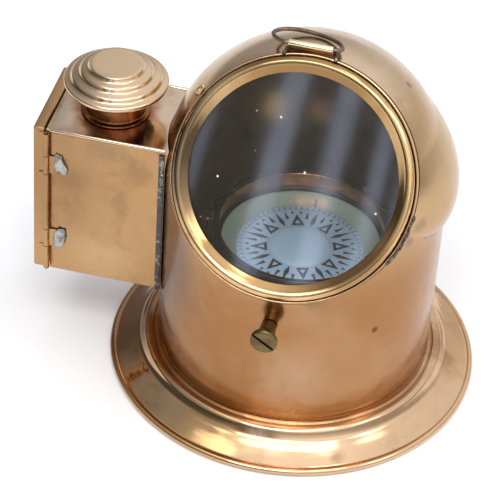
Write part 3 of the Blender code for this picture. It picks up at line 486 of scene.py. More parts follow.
SPECKS = ((-0.04, -0.006), (0.0056, 0.0045), (-0.0466, -0.034), (0.0466, -0.01), (-0.012, 0.031))
COPPER = hood_copper()
FLANGE = metal(
    "flange_copper", (0.64, 0.4, 0.215), (0.3, 0.145, 0.065), (0.08, 0.2), (0.44, 0.74), 0.0014, 22.0,
    (0.72, 0.5, 0.31), marks=FLANGE_MARKS,
)
BEZEL = metal(
    "bezel_brass", (0.72, 0.47, 0.22), (0.4, 0.21, 0.08), (0.1, 0.2), (0.5, 0.8), 0.0012, 30.0,
    (0.78, 0.56, 0.3), marks=BEZEL_MARKS,
)
HOUSE = metal(
    "house_brass", (0.475, 0.28, 0.13), (0.26, 0.145, 0.06), (0.22, 0.38), (0.46, 0.76), 0.0009, 42.0,
    (0.53, 0.325, 0.16), marks=HOUSE_MARKS,
)
CAP = metal(
    "cap_brass", (0.68, 0.49, 0.32), (0.36, 0.24, 0.14), (0.13, 0.26), (0.56, 0.86), 0.0003, 36.0,
    (0.66, 0.48, 0.28),
)
BROWNED = metal(
    "browned_brass", (0.5, 0.34, 0.2), (0.2, 0.1, 0.055), (0.16, 0.32), (0.42, 0.72), 0.0005, 30.0,
    (0.58, 0.42, 0.27),
)
BOX_TOP = metal(
    "box_top_brass", (0.68, 0.52, 0.37), (0.3, 0.16, 0.09), (0.12, 0.28), (0.5, 0.78), 0.0006, 34.0,
    (0.72, 0.55, 0.4), marks=TOP_MARKS,
)
NECK = metal(
    "neck_brass", (0.2, 0.08, 0.035), (0.09, 0.035, 0.02), (0.16, 0.3), (0.46, 0.74), 0.0004, 50.0,
    (0.28, 0.12, 0.05),
)
AGED = metal("aged_brass", (0.19, 0.14, 0.065), (0.09, 0.06, 0.03), (0.26, 0.46), (0.42, 0.75), 0.0001, 90.0)
WIRE = metal("dark_wire", (0.28, 0.19, 0.15), (0.09, 0.055, 0.045), (0.26, 0.46), (0.4, 0.72), 0.0001, 80.0)
# Dark tarnish and painted shade: the bail bracket's web and foot are darkened for the shade under the tube.
TAN = metal(
    "tarnished_and_shaded_brass", (0.26, 0.14, 0.095), (0.1, 0.05, 0.04), (0.28, 0.46), (0.42, 0.72), 0.0002, 120.0,
)
TUBE = metal("tube_brass", (0.9, 0.78, 0.48), (0.66, 0.48, 0.22), (0.14, 0.26), (0.55, 0.85), 0.0001, 90.0)
BLACK = metal(
    "black_brass", (0.07, 0.066, 0.06), (0.035, 0.03, 0.028), (0.34, 0.52), (0.4, 0.75), 0.0001, 70.0,
)
INNER = metal(
    "oxidised_copper", (0.15, 0.1, 0.05), (0.06, 0.04, 0.02), (0.66, 0.8), (0.42, 0.75), 0.0006, 26.0,
)
RIM_COPPER = metal(
    "rim_copper", (0.6, 0.28, 0.13), (0.2, 0.09, 0.05), (0.1, 0.2), (0.44, 0.74), 0.0004, 40.0,
)
RINGCU = metal("ring_copper", (0.7, 0.36, 0.2), (0.34, 0.15, 0.08), (0.18, 0.32), (0.48, 0.8), 0.0002, 50.0)
SOLDER = metal(
    "solder", (0.5, 0.5, 0.48), (0.22, 0.21, 0.19), (0.38, 0.6), (0.42, 0.68), 0.0003, 160.0, fine=0.00004,
)
DARK_SOLDER = metal(
    "dark_solder", (0.1, 0.095, 0.09), (0.42, 0.4, 0.36), (0.36, 0.6), (0.56, 0.7), 0.0003, 220.0,
    fine=0.00006,
)
RIM_SOLDER = metal(
    "rim_solder", (0.16, 0.13, 0.1), (0.4, 0.34, 0.28), (0.34, 0.56), (0.5, 0.66), 0.0003, 240.0,
    fine=0.00006,
)
STEEL = metal("steel", (0.5, 0.5, 0.52), (0.28, 0.26, 0.24), (0.28, 0.44), (0.5, 0.8), 0.0001, 90.0)
LEAD = plain("lead", (0.2, 0.2, 0.21), (0.3, 0.3, 0.31), 0.55, 0.8, 90.0, 0.0001)
BOWL = plain("bowl_enamel", (0.74, 0.84, 0.7), (0.8, 0.88, 0.74), 0.34, 0.0, 45.0, 0.00002, 0.3)
BOWL_OUT = plain("bowl_paint", (0.045, 0.045, 0.042), (0.075, 0.07, 0.06), 0.45, 0.0, 70.0, 0.00003)
# The blue tint of the card and its disc is painted bluish light, falling on them through the window.
CARD = plain("card_paper", (0.56, 0.75, 0.92), (0.48, 0.68, 0.86), 0.55, 0.0, 70.0, 0.00002)
DISC = plain("card_disc", (0.62, 0.83, 1.0), (0.55, 0.76, 0.96), 0.38, 0.0, 50.0, 0.00002, 0.4)
INK = plain("card_ink", (0.03, 0.034, 0.036), (0.06, 0.062, 0.06), 0.6, 0.0, 260.0, 0.00001)
PUTTY = plain("putty", (0.11, 0.095, 0.075), (0.17, 0.15, 0.12), 0.8, 0.0, 140.0, 0.0001)
COTTON = plain("wick_cotton", (0.74, 0.69, 0.58), (0.3, 0.24, 0.18), 0.9, 0.0, 300.0, 0.0002)
PANE = glass("window_pane", (0.985, 0.99, 0.995), 0.036, SPECKS)
THIN_PANE = glass("thin_pane", (0.98, 0.985, 0.99))


# Base


def make_base():
    profile = [
        (0.0702, LEDGE_Z), (0.0795, LEDGE_Z), (0.0798, LEDGE_Z - 0.0007), (0.0803, LEDGE_Z - 0.0007),
        (0.0806, LEDGE_Z), (0.0836, LEDGE_Z - 0.0001), (0.0852, LEDGE_Z - 0.0009), (0.0862, 0.0138),
        (0.0876, 0.0117), (0.0888, 0.0106), (0.0905, 0.0096), (0.093, 0.008), (0.0965, 0.006),
        (0.1, 0.0042), (0.101, 0.0037),
    ]
    profile = fillet(profile, 0.0009, 3)
    profile += arc(0.103, 0.002, 0.002, 128.0, -170.0, 18)
    under = [
        (0.1, 0.003), (0.096, 0.0048), (0.09, 0.0084), (0.0872, 0.0104), (0.0848, 0.0134),
        (0.0838, 0.0152), (0.0702, 0.0153),
    ]
    profile += fillet(under, 0.0006, 2)
    piece("base_flange_skin", lathe(profile, 256), FLANGE, "base_flange")
    plate = fillet([(0.0, 0.0016), (0.1002, 0.0016), (0.1002, 0.0), (0.0, 0.0)], 0.0004, 2)
    piece("base_plate_skin", lathe(plate, 160), HOUSE, "base_plate")


# Hood


def blister(turn, z):
    """Lift of the pressed blister: creased along its lower edge, smooth above."""
    across = (math.degrees(turn) - 6.0) / 42.0
    if abs(across) >= 1.0:
        return 0.0
    low = 0.115 + 0.0225 * across * across
    high = 0.17
    t = (z - low) / (high - low)
    if not 0.0 < t < 1.0:
        return 0.0
    rise = math.sin(math.pi * t ** 0.72)
    rise *= 1.0 - 0.35 * t
    return 0.0066 * max(0.0, rise) * (1.0 - across * across) ** 0.7


def hood_point(turn, s, radius):
    """A point of the hood wall: s runs from 0 at the foot to 1 at the crown."""
    wall = DOME_Z - FOOT_Z
    quarter = radius * math.pi / 2.0
    reach = s * (wall + quarter)
    if reach <= wall:
        r = radius
        z = FOOT_Z + reach
        out = polar(1.0, turn)
    else:
        up = (reach - wall) / radius
        r = radius * math.cos(up)
        z = DOME_Z + radius * math.sin(up)
        out = polar(math.cos(up), turn, math.sin(up))
    point = polar(r, turn, z)
    return point + out * (blister(turn, z) + dents(point))


def dents(point):
    """Small hand-worked unevenness that fades out at the foot."""
    fade = min(1.0, max(0.0, (point.z - 0.03) / 0.03))
    broad = noise.noise(point * 16.0) * 0.00022
    small = noise.noise(point * 38.0 + Vector((3.0, 1.0, 7.0))) * 0.00006
    from_pit = (point - Vector((0.05, -0.006, 0.1925))).length
    return (broad + small) * fade - 0.0007 * math.exp(-((from_pit / 0.0022) ** 2))


def looks_inward(face):
    """Whether a face of the hood is on its inside."""
    c = face.center
    return face.normal.dot(Vector((c.x, c.y, max(0.0, c.z - DOME_Z)))) < 0.0


def make_hood():
    steps = 288
    rows = 132
    turns = [2 * math.pi * i / steps - math.pi for i in range(steps)]
    bm = bmesh.new()
    feet = []
    for radius in (HOOD_R, HOOD_R - SHEET):
        rings = [[bm.verts.new(hood_point(turn, k / rows, radius)) for turn in turns] for k in range(rows)]
        rings.append([bm.verts.new((0.0, 0.0, DOME_Z + radius))])
        join_rings(bm, rings, False)
        feet.append(rings[0])
    bands(bm, *feet)
    obj = bare("hood_skin", bm)
    normal = window_frame().col[2].to_3d()
    cutters = [
        rod(normal, WINDOW, 0.0669, -0.02, 0.042, 192),
        rod((-1, 0, 0), (0, 0, PORT_Z), 0.018, 0.06, 0.095, 64),
        rod((0, -1, 0), (0, 0, GIMBAL_Z), 0.0028, 0.06, 0.09, 24),
        rod((0, 1, 0), (0, 0, GIMBAL_Z), 0.0028, 0.06, 0.09, 24),
    ]
    combine(obj, cutters)
    dress(obj, COPPER, "hood_shell", angle=30.0)
    repaint(obj, INNER, looks_inward)


# Window


def make_window():
    place = window_frame()
    tube = [
        (0.0666, -0.0016), (0.0666, -0.012), (0.0654, -0.012), (0.0654, -0.0063), (0.0575, -0.0063),
        (0.0575, -0.0051), (0.0654, -0.0051), (0.0654, -0.0016),
    ]
    collar = lathe(fillet(tube, 0.00045, 3, True), 256, place)
    piece("collar_skin", collar, FLANGE, "window_collar")
    putty = [(0.064, -0.0039), (0.064, -0.0048), (0.0575, -0.0048), (0.0575, -0.0039)]
    seal = lathe(fillet(putty, 0.0002, 2, True), 160, place)
    piece("seal_skin", seal, PUTTY, "window_seal")
    pane = fillet([(0.0, -0.0016), (0.0648, -0.0016), (0.0648, -0.0036), (0.0, -0.0036)], 0.0002, 2)
    piece("pane_skin", lathe(pane, 192, place), PANE, "window_glass", angle=10.0)
    ring = [
        (0.0648, 0.0003), (0.0648, -0.0013), (0.0563, -0.0013), (0.0563, -0.0009), (0.0594, 0.001),
        (0.0604, 0.0018), (0.0616, 0.0022), (0.0628, 0.0021), (0.064, 0.0013),
    ]
    bezel = lathe(fillet(ring, 0.0005, 4, True), 256, place)
    piece("bezel_skin", bezel, BEZEL, "window_bezel")


# Bail


def on_dome(x, y, lift):
    radius = HOOD_R + lift
    return Vector((x, y, DOME_Z + math.sqrt(radius * radius - x * x - y * y)))


def foot_strip():
    """A thin strap soldered along the crown, with a wavy hand-cut outline."""
    bm = bmesh.new()
    columns = 48
    layers = []
    for lift in (0.0003, 0.0012):
        grid = []
        for i in range(columns + 1):
            t = 2.0 * i / columns - 1.0
            x = -0.0025 + 0.0147 * t
            waist = 0.001 * (1.0 - t * t)
            front = -0.0005 + 0.4 * waist
            back = 0.0037 - waist - 0.0006 * abs(t) ** 6
            grid.append([bm.verts.new(on_dome(x, front + (back - front) * k / 4, lift)) for k in range(5)])
        layers.append(grid)
    low, high = layers
    for i in range(columns):
        for k in range(4):
            bm.faces.new((low[i][k], low[i][k + 1], low[i + 1][k + 1], low[i + 1][k]))
            bm.faces.new((high[i][k], high[i + 1][k], high[i + 1][k + 1], high[i][k + 1]))
        bm.faces.new((low[i][0], low[i + 1][0], high[i + 1][0], high[i][0]))
        bm.faces.new((low[i][4], high[i][4], high[i + 1][4], low[i + 1][4]))
    for i in (0, columns):
        for k in range(4):
            bm.faces.new((low[i][k], high[i][k], high[i][k + 1], low[i][k + 1]))
    return bm


def loop_through(corners, count):
    """A smooth closed line through the corners."""
    points = []
    total = len(corners)
    for i in range(total):
        a, b, c, d = (Vector(corners[(i + k) % total]) for k in (-1, 0, 1, 2))
        for k in range(count):
            t = k / count
            spot = 2.0 * b + (c - a) * t + (2.0 * a - 5.0 * b + 4.0 * c - d) * t ** 2
            points.append((spot + (3.0 * b - a - 3.0 * c + d) * t ** 3) / 2.0)
    return points


def make_bail():
    half = 0.012
    tube = fillet([(0.0019, half), (0.0019, -half), (0.0015, -half), (0.0015, half)], 0.0001, 2, True)
    bm = lathe(tube, 40, along((1, 0, 0), BAIL))
    piece("tube_skin", bm, TUBE, "bail_bracket")
    web = cuboid((BAIL.x - 0.0114, -0.0007, 0.2103), (BAIL.x + 0.0114, 0.0007, BAIL.z - 0.0018), 0.0002, 2)
    piece("bracket_web", web, TAN)
    piece("bracket_foot", foot_strip(), TAN)
    corners = [
        (-0.012, 0.0), (0.0, 0.0), (0.0118, 0.0), (0.0146, 0.0007), (0.0162, 0.0028), (0.016, 0.0062),
        (0.013, 0.0112), (0.0077, 0.0155), (0.0, 0.0186), (-0.008, 0.02), (-0.015, 0.0192),
        (-0.0198, 0.016), (-0.0222, 0.0112), (-0.0214, 0.0062), (-0.0184, 0.0026), (-0.015, 0.0005),
    ]
    lay = Matrix.Translation(BAIL) @ Matrix.Rotation(BAIL_REST, 4, "X")
    bm = sweep([spot.to_3d() for spot in loop_through(corners, 8)], 0.00115, 20)
    bmesh.ops.transform(bm, matrix=lay, verts=bm.verts)
    piece("bail_wire", bm, WIRE, "bail_ring", body="bail", angle=80.0)
    for i, (x, side) in enumerate(((-0.0168, 1.0), (0.0118, -1.0))):
        up = math.sqrt(0.066 ** 2 - x * x)
        low = window_frame() @ Vector((x, up, -0.0008))
        high = on_dome(x + side * 0.0022, 0.0012, 0.0016)
        radii = [0.0006, 0.0012, 0.001, 0.0009, 0.001, 0.0012, 0.0007]
        last = len(radii) - 1
        points = []
        for k in range(len(radii)):
            sag = Vector((0.0, 0.0, 0.0006 * math.sin(math.pi * k / last)))
            points.append(low.lerp(high, k / last) + sag)
        bm = sweep(points, radii, 12, False)
        piece("foot_solder_%d" % i, bm, DARK_SOLDER, angle=80.0)


# Gimbal, bowl and card


def screw_profile():
    y = SCREW_FACE
    head = [(0.0, y), (0.0066, y), (0.0075, y - 0.0007), (0.0075, y - 0.0026), (0.0068, y - 0.0031)]
    neck = [
        (0.0066, y - 0.0034), (0.0054, y - 0.006), (0.005, y - 0.0062), (0.0049, y - 0.0071),
        (0.0048, y - 0.0073), (0.0048, y - 0.0088), (0.00435, y - 0.0091), (0.00435, 0.0782),
    ]
    shank = [
        (0.0025, 0.0781), (0.0025, 0.061), (0.0016, 0.06), (0.0016, 0.0544), (0.0008, 0.0536),
        (0.0, 0.0536),
    ]
    return head + neck + shank


def make_screws():
    for name, side, angle in (("front", -1.0, math.radians(34.0)), ("rear", 1.0, 0.3)):
        place = along((0.0, side, 0.0), (0, 0, GIMBAL_Z))
        obj = bare("pivot_screw_skin_" + name, lathe(fillet(screw_profile(), 0.0003, 2), 64, place))
        slot = cuboid((-0.01, -0.0014, -0.0008), (0.01, 0.0014, 0.0008))
        spot = at(0.0, side * SCREW_FACE, GIMBAL_Z) @ Matrix.Rotation(angle, 4, "Y")
        bmesh.ops.transform(slot, matrix=spot, verts=slot.verts)
        combine(obj, [bare("slot", slot)])
        dress(obj, AGED, "pivot_screw_" + name, angle=30.0)
        boss = fillet([(0.006, 0.076), (0.006, 0.07), (0.0028, 0.07), (0.0028, 0.076)], 0.0004, 2, True)
        bm = lathe(boss, 40, place)
        piece("boss_skin_" + name, bm, INNER, "pivot_boss_" + name)


def make_gimbal():
    low = GIMBAL_Z - 0.0035
    high = GIMBAL_Z + 0.0035
    band = fillet([(0.0565, high), (0.0565, low), (0.054, low), (0.054, high)], 0.0006, 3, True)
    obj = bare("gimbal_ring_skin", lathe(band, 192))
    centre = (0, 0, GIMBAL_Z)
    screw_holes = rod((0, 1, 0), centre, 0.0019, -0.07, 0.07, 24)
    pin_holes = rod((1, 0, 0), centre, 0.0016, -0.07, 0.07, 24)
    combine(obj, [screw_holes, pin_holes])
    dress(obj, RINGCU, "gimbal_ring", body="gimbal", angle=35.0)
    pin = [
        (0.0, 0.0592), (0.0023, 0.0592), (0.0023, 0.0572), (0.0013, 0.0572), (0.0013, 0.0497),
        (0.0, 0.0497),
    ]
    for name, side in (("left", -1.0), ("right", 1.0)):
        bm = lathe(fillet(pin, 0.0003, 2), 32, along((side, 0, 0), centre))
        piece("inner_pin_" + name, bm, AGED, "inner_pivot_" + name, body="gimbal")


def holds_liquid(face):
    """Whether a face of the bowl is on its inside."""
    c = face.center
    inward = face.normal.dot(Vector((c.x, c.y, c.z - 0.076))) < 0.0
    return inward and math.hypot(c.x, c.y) < 0.0469 and c.z < 0.0805


def bare_lip(face):
    """Whether a face is on the unpainted upper inside of the bowl's rim."""
    return face.center.z > 0.088 and math.hypot(face.center.x, face.center.y) < 0.0478


def make_bowl():
    side_z = 0.064
    outer = [
        (0.0, 0.0395), (0.0216, 0.0395), (0.0326, side_z - 0.021), (0.0413, side_z - 0.0155),
        (0.0463, side_z - 0.008), (0.048, side_z), (0.048, 0.082),
    ]
    inner = [
        (0.0472, 0.082), (0.0472, 0.08), (0.0465, 0.08), (0.0465, side_z), (0.0449, side_z - 0.0073),
        (0.04, side_z - 0.0143), (0.0316, side_z - 0.0195), (0.0211, 0.041), (0.0, 0.041),
    ]
    obj = bare("bowl_skin", lathe(fillet(outer, 0.004, 6) + fillet(inner, 0.003, 5), 160))
    lugs = []
    for side in BOTH_SIDES:
        near, far = sorted((side * 0.0476, side * 0.0525))
        lugs.append(bare("lug", cuboid((near, -0.004, 0.074), (far, 0.004, 0.0878), 0.0004, 2)))
    combine(obj, lugs, "UNION")
    pin_hole = rod((1, 0, 0), (0, 0, GIMBAL_Z), 0.0016, -0.06, 0.06, 24)
    seat = rod((0, 0, 1), (0, 0, 0), 0.0495, 0.082, 0.095, 160)
    combine(obj, [pin_hole, seat])
    dress(obj, BOWL_OUT, "compass_bowl", body="bowl", angle=35.0)
    repaint(obj, BOWL, holds_liquid)
    rim = [
        (0.0492, 0.093), (0.0492, 0.0823), (0.0445, 0.0823), (0.0445, 0.0831), (0.0462, 0.0841),
        (0.0462, 0.093),
    ]
    bm = lathe(fillet(rim, 0.0005, 3, True), 192)
    obj = piece("bowl_rim", bm, BLACK, "bowl_bezel", body="bowl")
    repaint(obj, RIM_COPPER, bare_lip)
    pane = [(0.0, 0.082), (0.0468, 0.082), (0.0468, 0.0803), (0.0, 0.0803)]
    piece("bowl_pane", lathe(pane, 128), THIN_PANE, "bowl_glass", body="bowl", angle=10.0)
    weight = [(0.0, 0.0392), (0.016, 0.0392), (0.016, 0.0327), (0.014, 0.0307), (0.0, 0.0307)]
    piece("ballast", lathe(fillet(weight, 0.0006, 3), 96), LEAD, "bowl_weight", body="bowl")
    make_bowl_fittings()


def make_bowl_fittings():
    line = cuboid((-0.0006, 0.0412, 0.0655), (0.0006, 0.042, 0.079), 0.0002, 2)
    obj = bare("lubber_pin", line)
    foot = bare("foot", cuboid((-0.0015, 0.0414, 0.0655), (0.0015, 0.0459, 0.0672), 0.0002, 2))
    combine(obj, [foot], "UNION")
    dress(obj, BLACK, "lubber_line", body="bowl")
    start = 0.0483
    plug = [
        (0.0, start + 0.0026), (0.0028, start + 0.0026), (0.0034, start + 0.002), (0.0034, start),
        (0.0, start),
    ]
    place = along((-1.0, -1.0, 0.0), (0, 0, 0.072))
    obj = bare("plug_skin", lathe(fillet(plug, 0.0003, 2), 40, place))
    groove = cuboid((-0.006, -0.0004, start + 0.0018), (0.006, 0.0004, start + 0.004))
    bmesh.ops.transform(groove, matrix=place, verts=groove.verts)
    combine(obj, [bare("groove", groove)])
    dress(obj, AGED, "filler_plug", body="bowl", angle=30.0)
    low = 0.0413
    post = [
        (0.0, 0.0705), (0.0005, 0.0701), (0.0016, 0.0655), (0.0022, 0.0645), (0.0022, low + 0.004),
        (0.006, low + 0.0015), (0.006, low), (0.0, low),
    ]
    piece("post_skin", lathe(fillet(post, 0.0004, 2), 48), HOUSE, "pivot_post", body="bowl")


def rose_shapes():
    """Dark marks of the card: closed outlines in polar form (angle in degrees, radius)."""
    shapes = []
    for k in range(8):
        turn = 45.0 * k
        outer = [(turn - 11.5, 0.019), (turn + 11.5, 0.019), (turn, 0.0284)]
        inner = [(turn - 4.6, 0.0203), (turn + 4.6, 0.0203), (turn, 0.0238)]
        for i in range(3):
            j = (i + 1) % 3
            shapes.append([outer[i], outer[j], inner[j], inner[i]])
        for side in BOTH_SIDES:
            by = turn + side * 4.6
            shapes.append([(by - 1.7, 0.029), (by + 1.7, 0.029), (by, 0.0316)])
            by = turn + side * 12.6
            shapes.append([(by - 2.6, 0.0246), (by + 2.6, 0.0246), (by, 0.0316)])
        half = turn + 22.5
        shapes.append([(half, 0.0184), (half + 3.6, 0.0232), (half, 0.0322), (half - 3.6, 0.0232)])
    for k in range(64):
        turn = 5.625 * k
        wide = 0.9 if k % 2 else 0.5
        low, high = (0.0336, 0.0345) if k % 2 else (0.0332, 0.0349)
        shapes.append([(turn - wide, low), (turn + wide, low), (turn + wide, high), (turn - wide, high)])
    return shapes


def make_card():
    top = CARD_TOP
    edge = fillet([(0.0, top), (0.0362, top), (0.0362, top - 0.0008), (0.0, top - 0.0008)], 0.0002, 2)
    piece("card_skin", lathe(edge, 192), CARD, "compass_card", body="card")
    bm = bmesh.new()
    level = top + 0.00005
    for shape in rose_shapes():
        corners = []
        for turn, r in shape:
            corners.append(bm.verts.new(polar(r, math.radians(turn + 90.0 + CARD_HEADING), level)))
        bm.faces.new(corners)
    for r, wide in ((0.0327, 0.00018), (0.0355, 0.00022)):
        rings = []
        for radius in (r, r + wide):
            rings.append([bm.verts.new(polar(radius, i * math.pi / 90, level)) for i in range(180)])
        bands(bm, *rings)
    obj = piece("card_rose", bm, INK, body="card")
    thick = obj.modifiers.new("ink", "SOLIDIFY")
    thick.thickness = 0.00004
    thick.offset = -1.0
    low = top + 0.0003
    disc = [
        (0.0, low + 0.0015), (0.006, low + 0.00145), (0.011, low + 0.00125), (0.015, low + 0.0009),
        (0.0174, low + 0.0004), (0.0177, low), (0.0, low),
    ]
    piece("card_disc", lathe(disc, 128), DISC, "card_boss", body="card", angle=50.0)
    high = top - 0.0011
    buoy = [
        (0.0, high), (0.014, high), (0.014, high - 0.003), (0.0115, high - 0.0068), (0.007, 0.0665),
        (0.0036, 0.0665), (0.0009, 0.071), (0.0, 0.071),
    ]
    piece("float_skin", lathe(fillet(buoy, 0.0008, 3), 96), HOUSE, "card_float", body="card")
    for name, x in (("left", -0.02), ("right", 0.02)):
        bar = cuboid((x - 0.0015, -0.02, high - 0.003), (x + 0.0015, 0.02, high), 0.0003, 2)
        piece("magnet_bar_" + name, bar, STEEL, "magnet_" + name, body="card")


# Lamp house


def hood_solid():
    """The hood outline with a little clearance, to trim what meets it."""
    profile = [(0.0, DOME_Z + HOOD_TRIM_R)] + arc(0.0, DOME_Z, HOOD_TRIM_R, 85.0, 0.0, 34)
    profile += [(HOOD_TRIM_R, 0.0), (0.0, 0.0)]
    return bare("hood_solid", lathe(profile, 192))


def make_house():
    top = HOUSE_TOP - SHEET - 0.0003
    walls = cuboid((HOUSE_END, -HOUSE_Y, HOUSE_LOW), (BOX_INNER_END, HOUSE_Y, top), 0.0008, 3)
    obj = bare("house_walls_skin", walls)
    inside = HOUSE_Y - SHEET
    hollow = bare("hollow", cuboid((-0.16, -inside, HOUSE_LOW + SHEET), (-0.05, inside, top + 0.01)))
    combine(obj, [hollow, hood_solid()])
    dress(obj, HOUSE, "lamp_house_walls", angle=30.0)
    corner = (HOUSE_END, -HOUSE_Y, HOUSE_TOP - SHEET)
    obj = bare("house_top_skin", cuboid(corner, (BOX_INNER_END, HOUSE_Y, HOUSE_TOP), 0.0004, 2))
    beads = []
    for side in BOTH_SIDES:
        profile = fillet([(0.0, -0.0001), (0.0011, -0.0001), (0.0011, 0.065), (0.0, 0.065)], 0.0003, 2)
        spot = (HOUSE_END, side * (HOUSE_Y - 0.0001), HOUSE_TOP - 0.0004)
        beads.append(bare("bead", lathe(profile, 24, along((1, 0, 0), spot))))
    combine(obj, beads, "UNION")
    flue_hole = rod((0, 0, 1), (CHIMNEY_X, 0, 0), 0.0153, 0.14, 0.16, 64)
    combine(obj, [hood_solid(), flue_hole])
    dress(obj, BOX_TOP, "lamp_house_top", angle=30.0)
    x = SEAM_X - 0.0003
    for name, side in (("front", -1.0), ("rear", 1.0)):
        ys = sorted((side * (HOUSE_Y + 0.0003), side * (HOUSE_Y + 0.001)))
        strip = cuboid((x - 0.003, ys[0], HOUSE_LOW), (x, ys[1], HOUSE_TOP - 0.003), 0.0002, 2)
        piece("seam_skin_" + name, strip, DARK_SOLDER, "lamp_seam_" + name)
    low = 0.0531
    high = 0.1478
    end = -0.144
    obj = bare("spigot_skin", cuboid((end, -0.0272, low), (-0.133, 0.0272, high), 0.001, 3))
    hollow = bare("hollow", cuboid((end - 0.01, -0.0262, low + 0.001), (-0.12, 0.0262, high - 0.001)))
    combine(obj, [hollow])
    dress(obj, BROWNED, "door_spigot", angle=30.0)


def knuckle(low, high):
    """A rolled hinge knuckle around the pin."""
    profile = fillet([(0.0018, high), (0.0018, low), (0.0011, low), (0.0011, high)], 0.0002, 2, True)
    return lathe(profile, 32, at(*HINGE))


def make_door():
    obj = bare("door_skin", cuboid((-0.147, -HOUSE_Y, HOUSE_LOW), (-0.1406, HOUSE_Y, HOUSE_TOP), 0.0009, 4))
    inside = HOUSE_Y - DOOR_SHEET
    corner = (-0.146, -inside, HOUSE_LOW + DOOR_SHEET)
    hollow = bare("hollow", cuboid(corner, (0.0, inside, HOUSE_TOP - DOOR_SHEET)))
    combine(obj, [hollow])
    edges = [HOUSE_LOW + 0.0012]
    for _, z in HINGE_HEIGHTS:
        edges += [z - 0.0063, z + 0.0063]
    edges.append(HOUSE_TOP - 0.0022)
    adds = []
    for low, high in zip(edges[0::2], edges[1::2]):
        tab = cuboid((-0.1436, -HOUSE_Y - 0.0008, low), (HINGE[0] - 0.0013, -HOUSE_Y + 0.0004, high))
        adds.append(bare("tab", tab))
        adds.append(bare("knuckle", knuckle(low, high)))
    combine(obj, adds, "UNION")
    dress(obj, HOUSE, "lamp_door", body="door", angle=30.0)
    top = HOUSE_TOP - 0.001
    pin = fillet([(0.0, top), (0.0008, top), (0.0008, HOUSE_LOW), (0.0, HOUSE_LOW)], 0.0002, 2)
    piece("hinge_pin_skin", lathe(pin, 24, at(*HINGE)), AGED, "door_hinge_pin")
    for name, z in HINGE_HEIGHTS:
        low = z - HINGE_HALF
        high = z + HINGE_HALF
        obj = bare("leaf_skin_" + name, knuckle(low, high))
        corner = (HINGE[0] + 0.0013, HOUSE_FRONT - 0.0008, low)
        leaf = cuboid(corner, (HINGE[0] + 0.0065, HOUSE_FRONT, high), 0.0002, 2)
        combine(obj, [bare("leaf", leaf)], "UNION")
        dress(obj, HOUSE, "hinge_leaf_" + name, angle=30.0)


def lump(name, centre, size, seed, mat, turn=0.0):
    """A blob of solder that has run and set."""
    bm = bmesh.new()
    bmesh.ops.create_icosphere(bm, subdivisions=4, radius=1.0)
    shift = Vector((seed * 3.1, seed * 1.7, seed))
    spin = Matrix.Rotation(turn, 3, "Y")
    for vert in bm.verts:
        rough = 1.0 + 0.34 * noise.noise(vert.co * 1.6 + shift) + 0.14 * noise.noise(vert.co * 4.2 + shift)
        vert.co = Vector(centre) + spin @ Vector(a * b for a, b in zip(vert.co * rough, size))
    piece(name, bm, mat, angle=80.0)


def make_solder():
    x = HINGE[0] + 0.0076
    lump("solder_lower", (x, HOUSE_FRONT - 0.0004, 0.0752), (0.0034, 0.0013, 0.0066), 3, SOLDER, turn=0.15)
    lump("solder_upper", (x, HOUSE_FRONT - 0.0004, 0.1268), (0.0033, 0.0013, 0.0064), 9, SOLDER, turn=-0.25)
    x = SEAM_X - 0.0016
    random.seed(4)
    for i in range(9):
        z = 0.1225 + 0.0022 * i + random.uniform(-0.0005, 0.0005)
        size = random.uniform(0.0004, 0.0008)
        spot = (x + random.uniform(-0.0004, 0.0006), HOUSE_FRONT - 0.0008, z)
        lump("seam_bead_%d" % i, spot, (size, 0.0003, size * 1.3), i, SOLDER)
    for i in range(11):
        turn = math.radians(-8.0 - 2.3 * i)
        out = 0.0673 + random.uniform(-0.0003, 0.0005)
        spot = window_frame() @ polar(out, turn, -0.0018)
        size = random.uniform(0.001, 0.0019)
        lump("rim_solder_%d" % i, spot, (0.0008, size, size * 1.5), 11 + i, RIM_SOLDER, turn=0.2)
    spot = window_frame() @ polar(0.0682, math.radians(147.0), -0.0018)
    lump("brazing_drop", spot, (0.0018, 0.0014, 0.0036), 21, BEZEL, 0.5)
    lump("seam_drop", (x - 0.0004, HOUSE_FRONT - 0.0007, 0.0606), (0.0008, 0.0004, 0.0009), 5, SOLDER)


def make_port():
    place = along((-1, 0, 0), (0, 0, PORT_Z))
    tube = [
        (0.0177, 0.07), (0.0146, 0.07), (0.0146, 0.0712), (0.016, 0.0712), (0.016, 0.083), (0.0177, 0.083),
    ]
    frame_mesh = lathe(fillet(tube, 0.0003, 2, True), 96, place)
    piece("port_skin", frame_mesh, BROWNED, "port_frame")
    pane = [(0.0, 0.0733), (0.0157, 0.0733), (0.0157, 0.0715), (0.0, 0.0715)]
    piece("port_pane", lathe(pane, 64, place), THIN_PANE, "port_glass", angle=10.0)


# Chimney and lamp


# The stepped cap: radius and drop below its top, over the outside and then back along the inside.
CAP_OUTER = [
    (0.0, 0.00005), (0.013, 0.0), (0.0146, 0.0002), (0.015, 0.001), (0.016, 0.0026), (0.0182, 0.0032),
    (0.0192, 0.0036), (0.0198, 0.0044), (0.0206, 0.0058), (0.0228, 0.0066), (0.024, 0.007),
    (0.0246, 0.0078), (0.0254, 0.0092), (0.027, 0.0098), (0.0281, 0.01), (0.0288, 0.0108),
    (0.0286, 0.0122), (0.0281, 0.013), (0.0256, 0.0152), (0.0206, 0.0168), (0.0202, 0.0158),
]
CAP_INNER = [
    (0.025, 0.0142), (0.0274, 0.0116), (0.0246, 0.0104), (0.0232, 0.0086), (0.0198, 0.0072),
    (0.0186, 0.0054), (0.0152, 0.0042), (0.0142, 0.0018), (0.012, 0.001), (0.0, 0.001),
]


def drops(pairs):
    """Cap profile points from radii and drops below the top."""
    return [(r, CAP_TOP - drop) for r, drop in pairs]


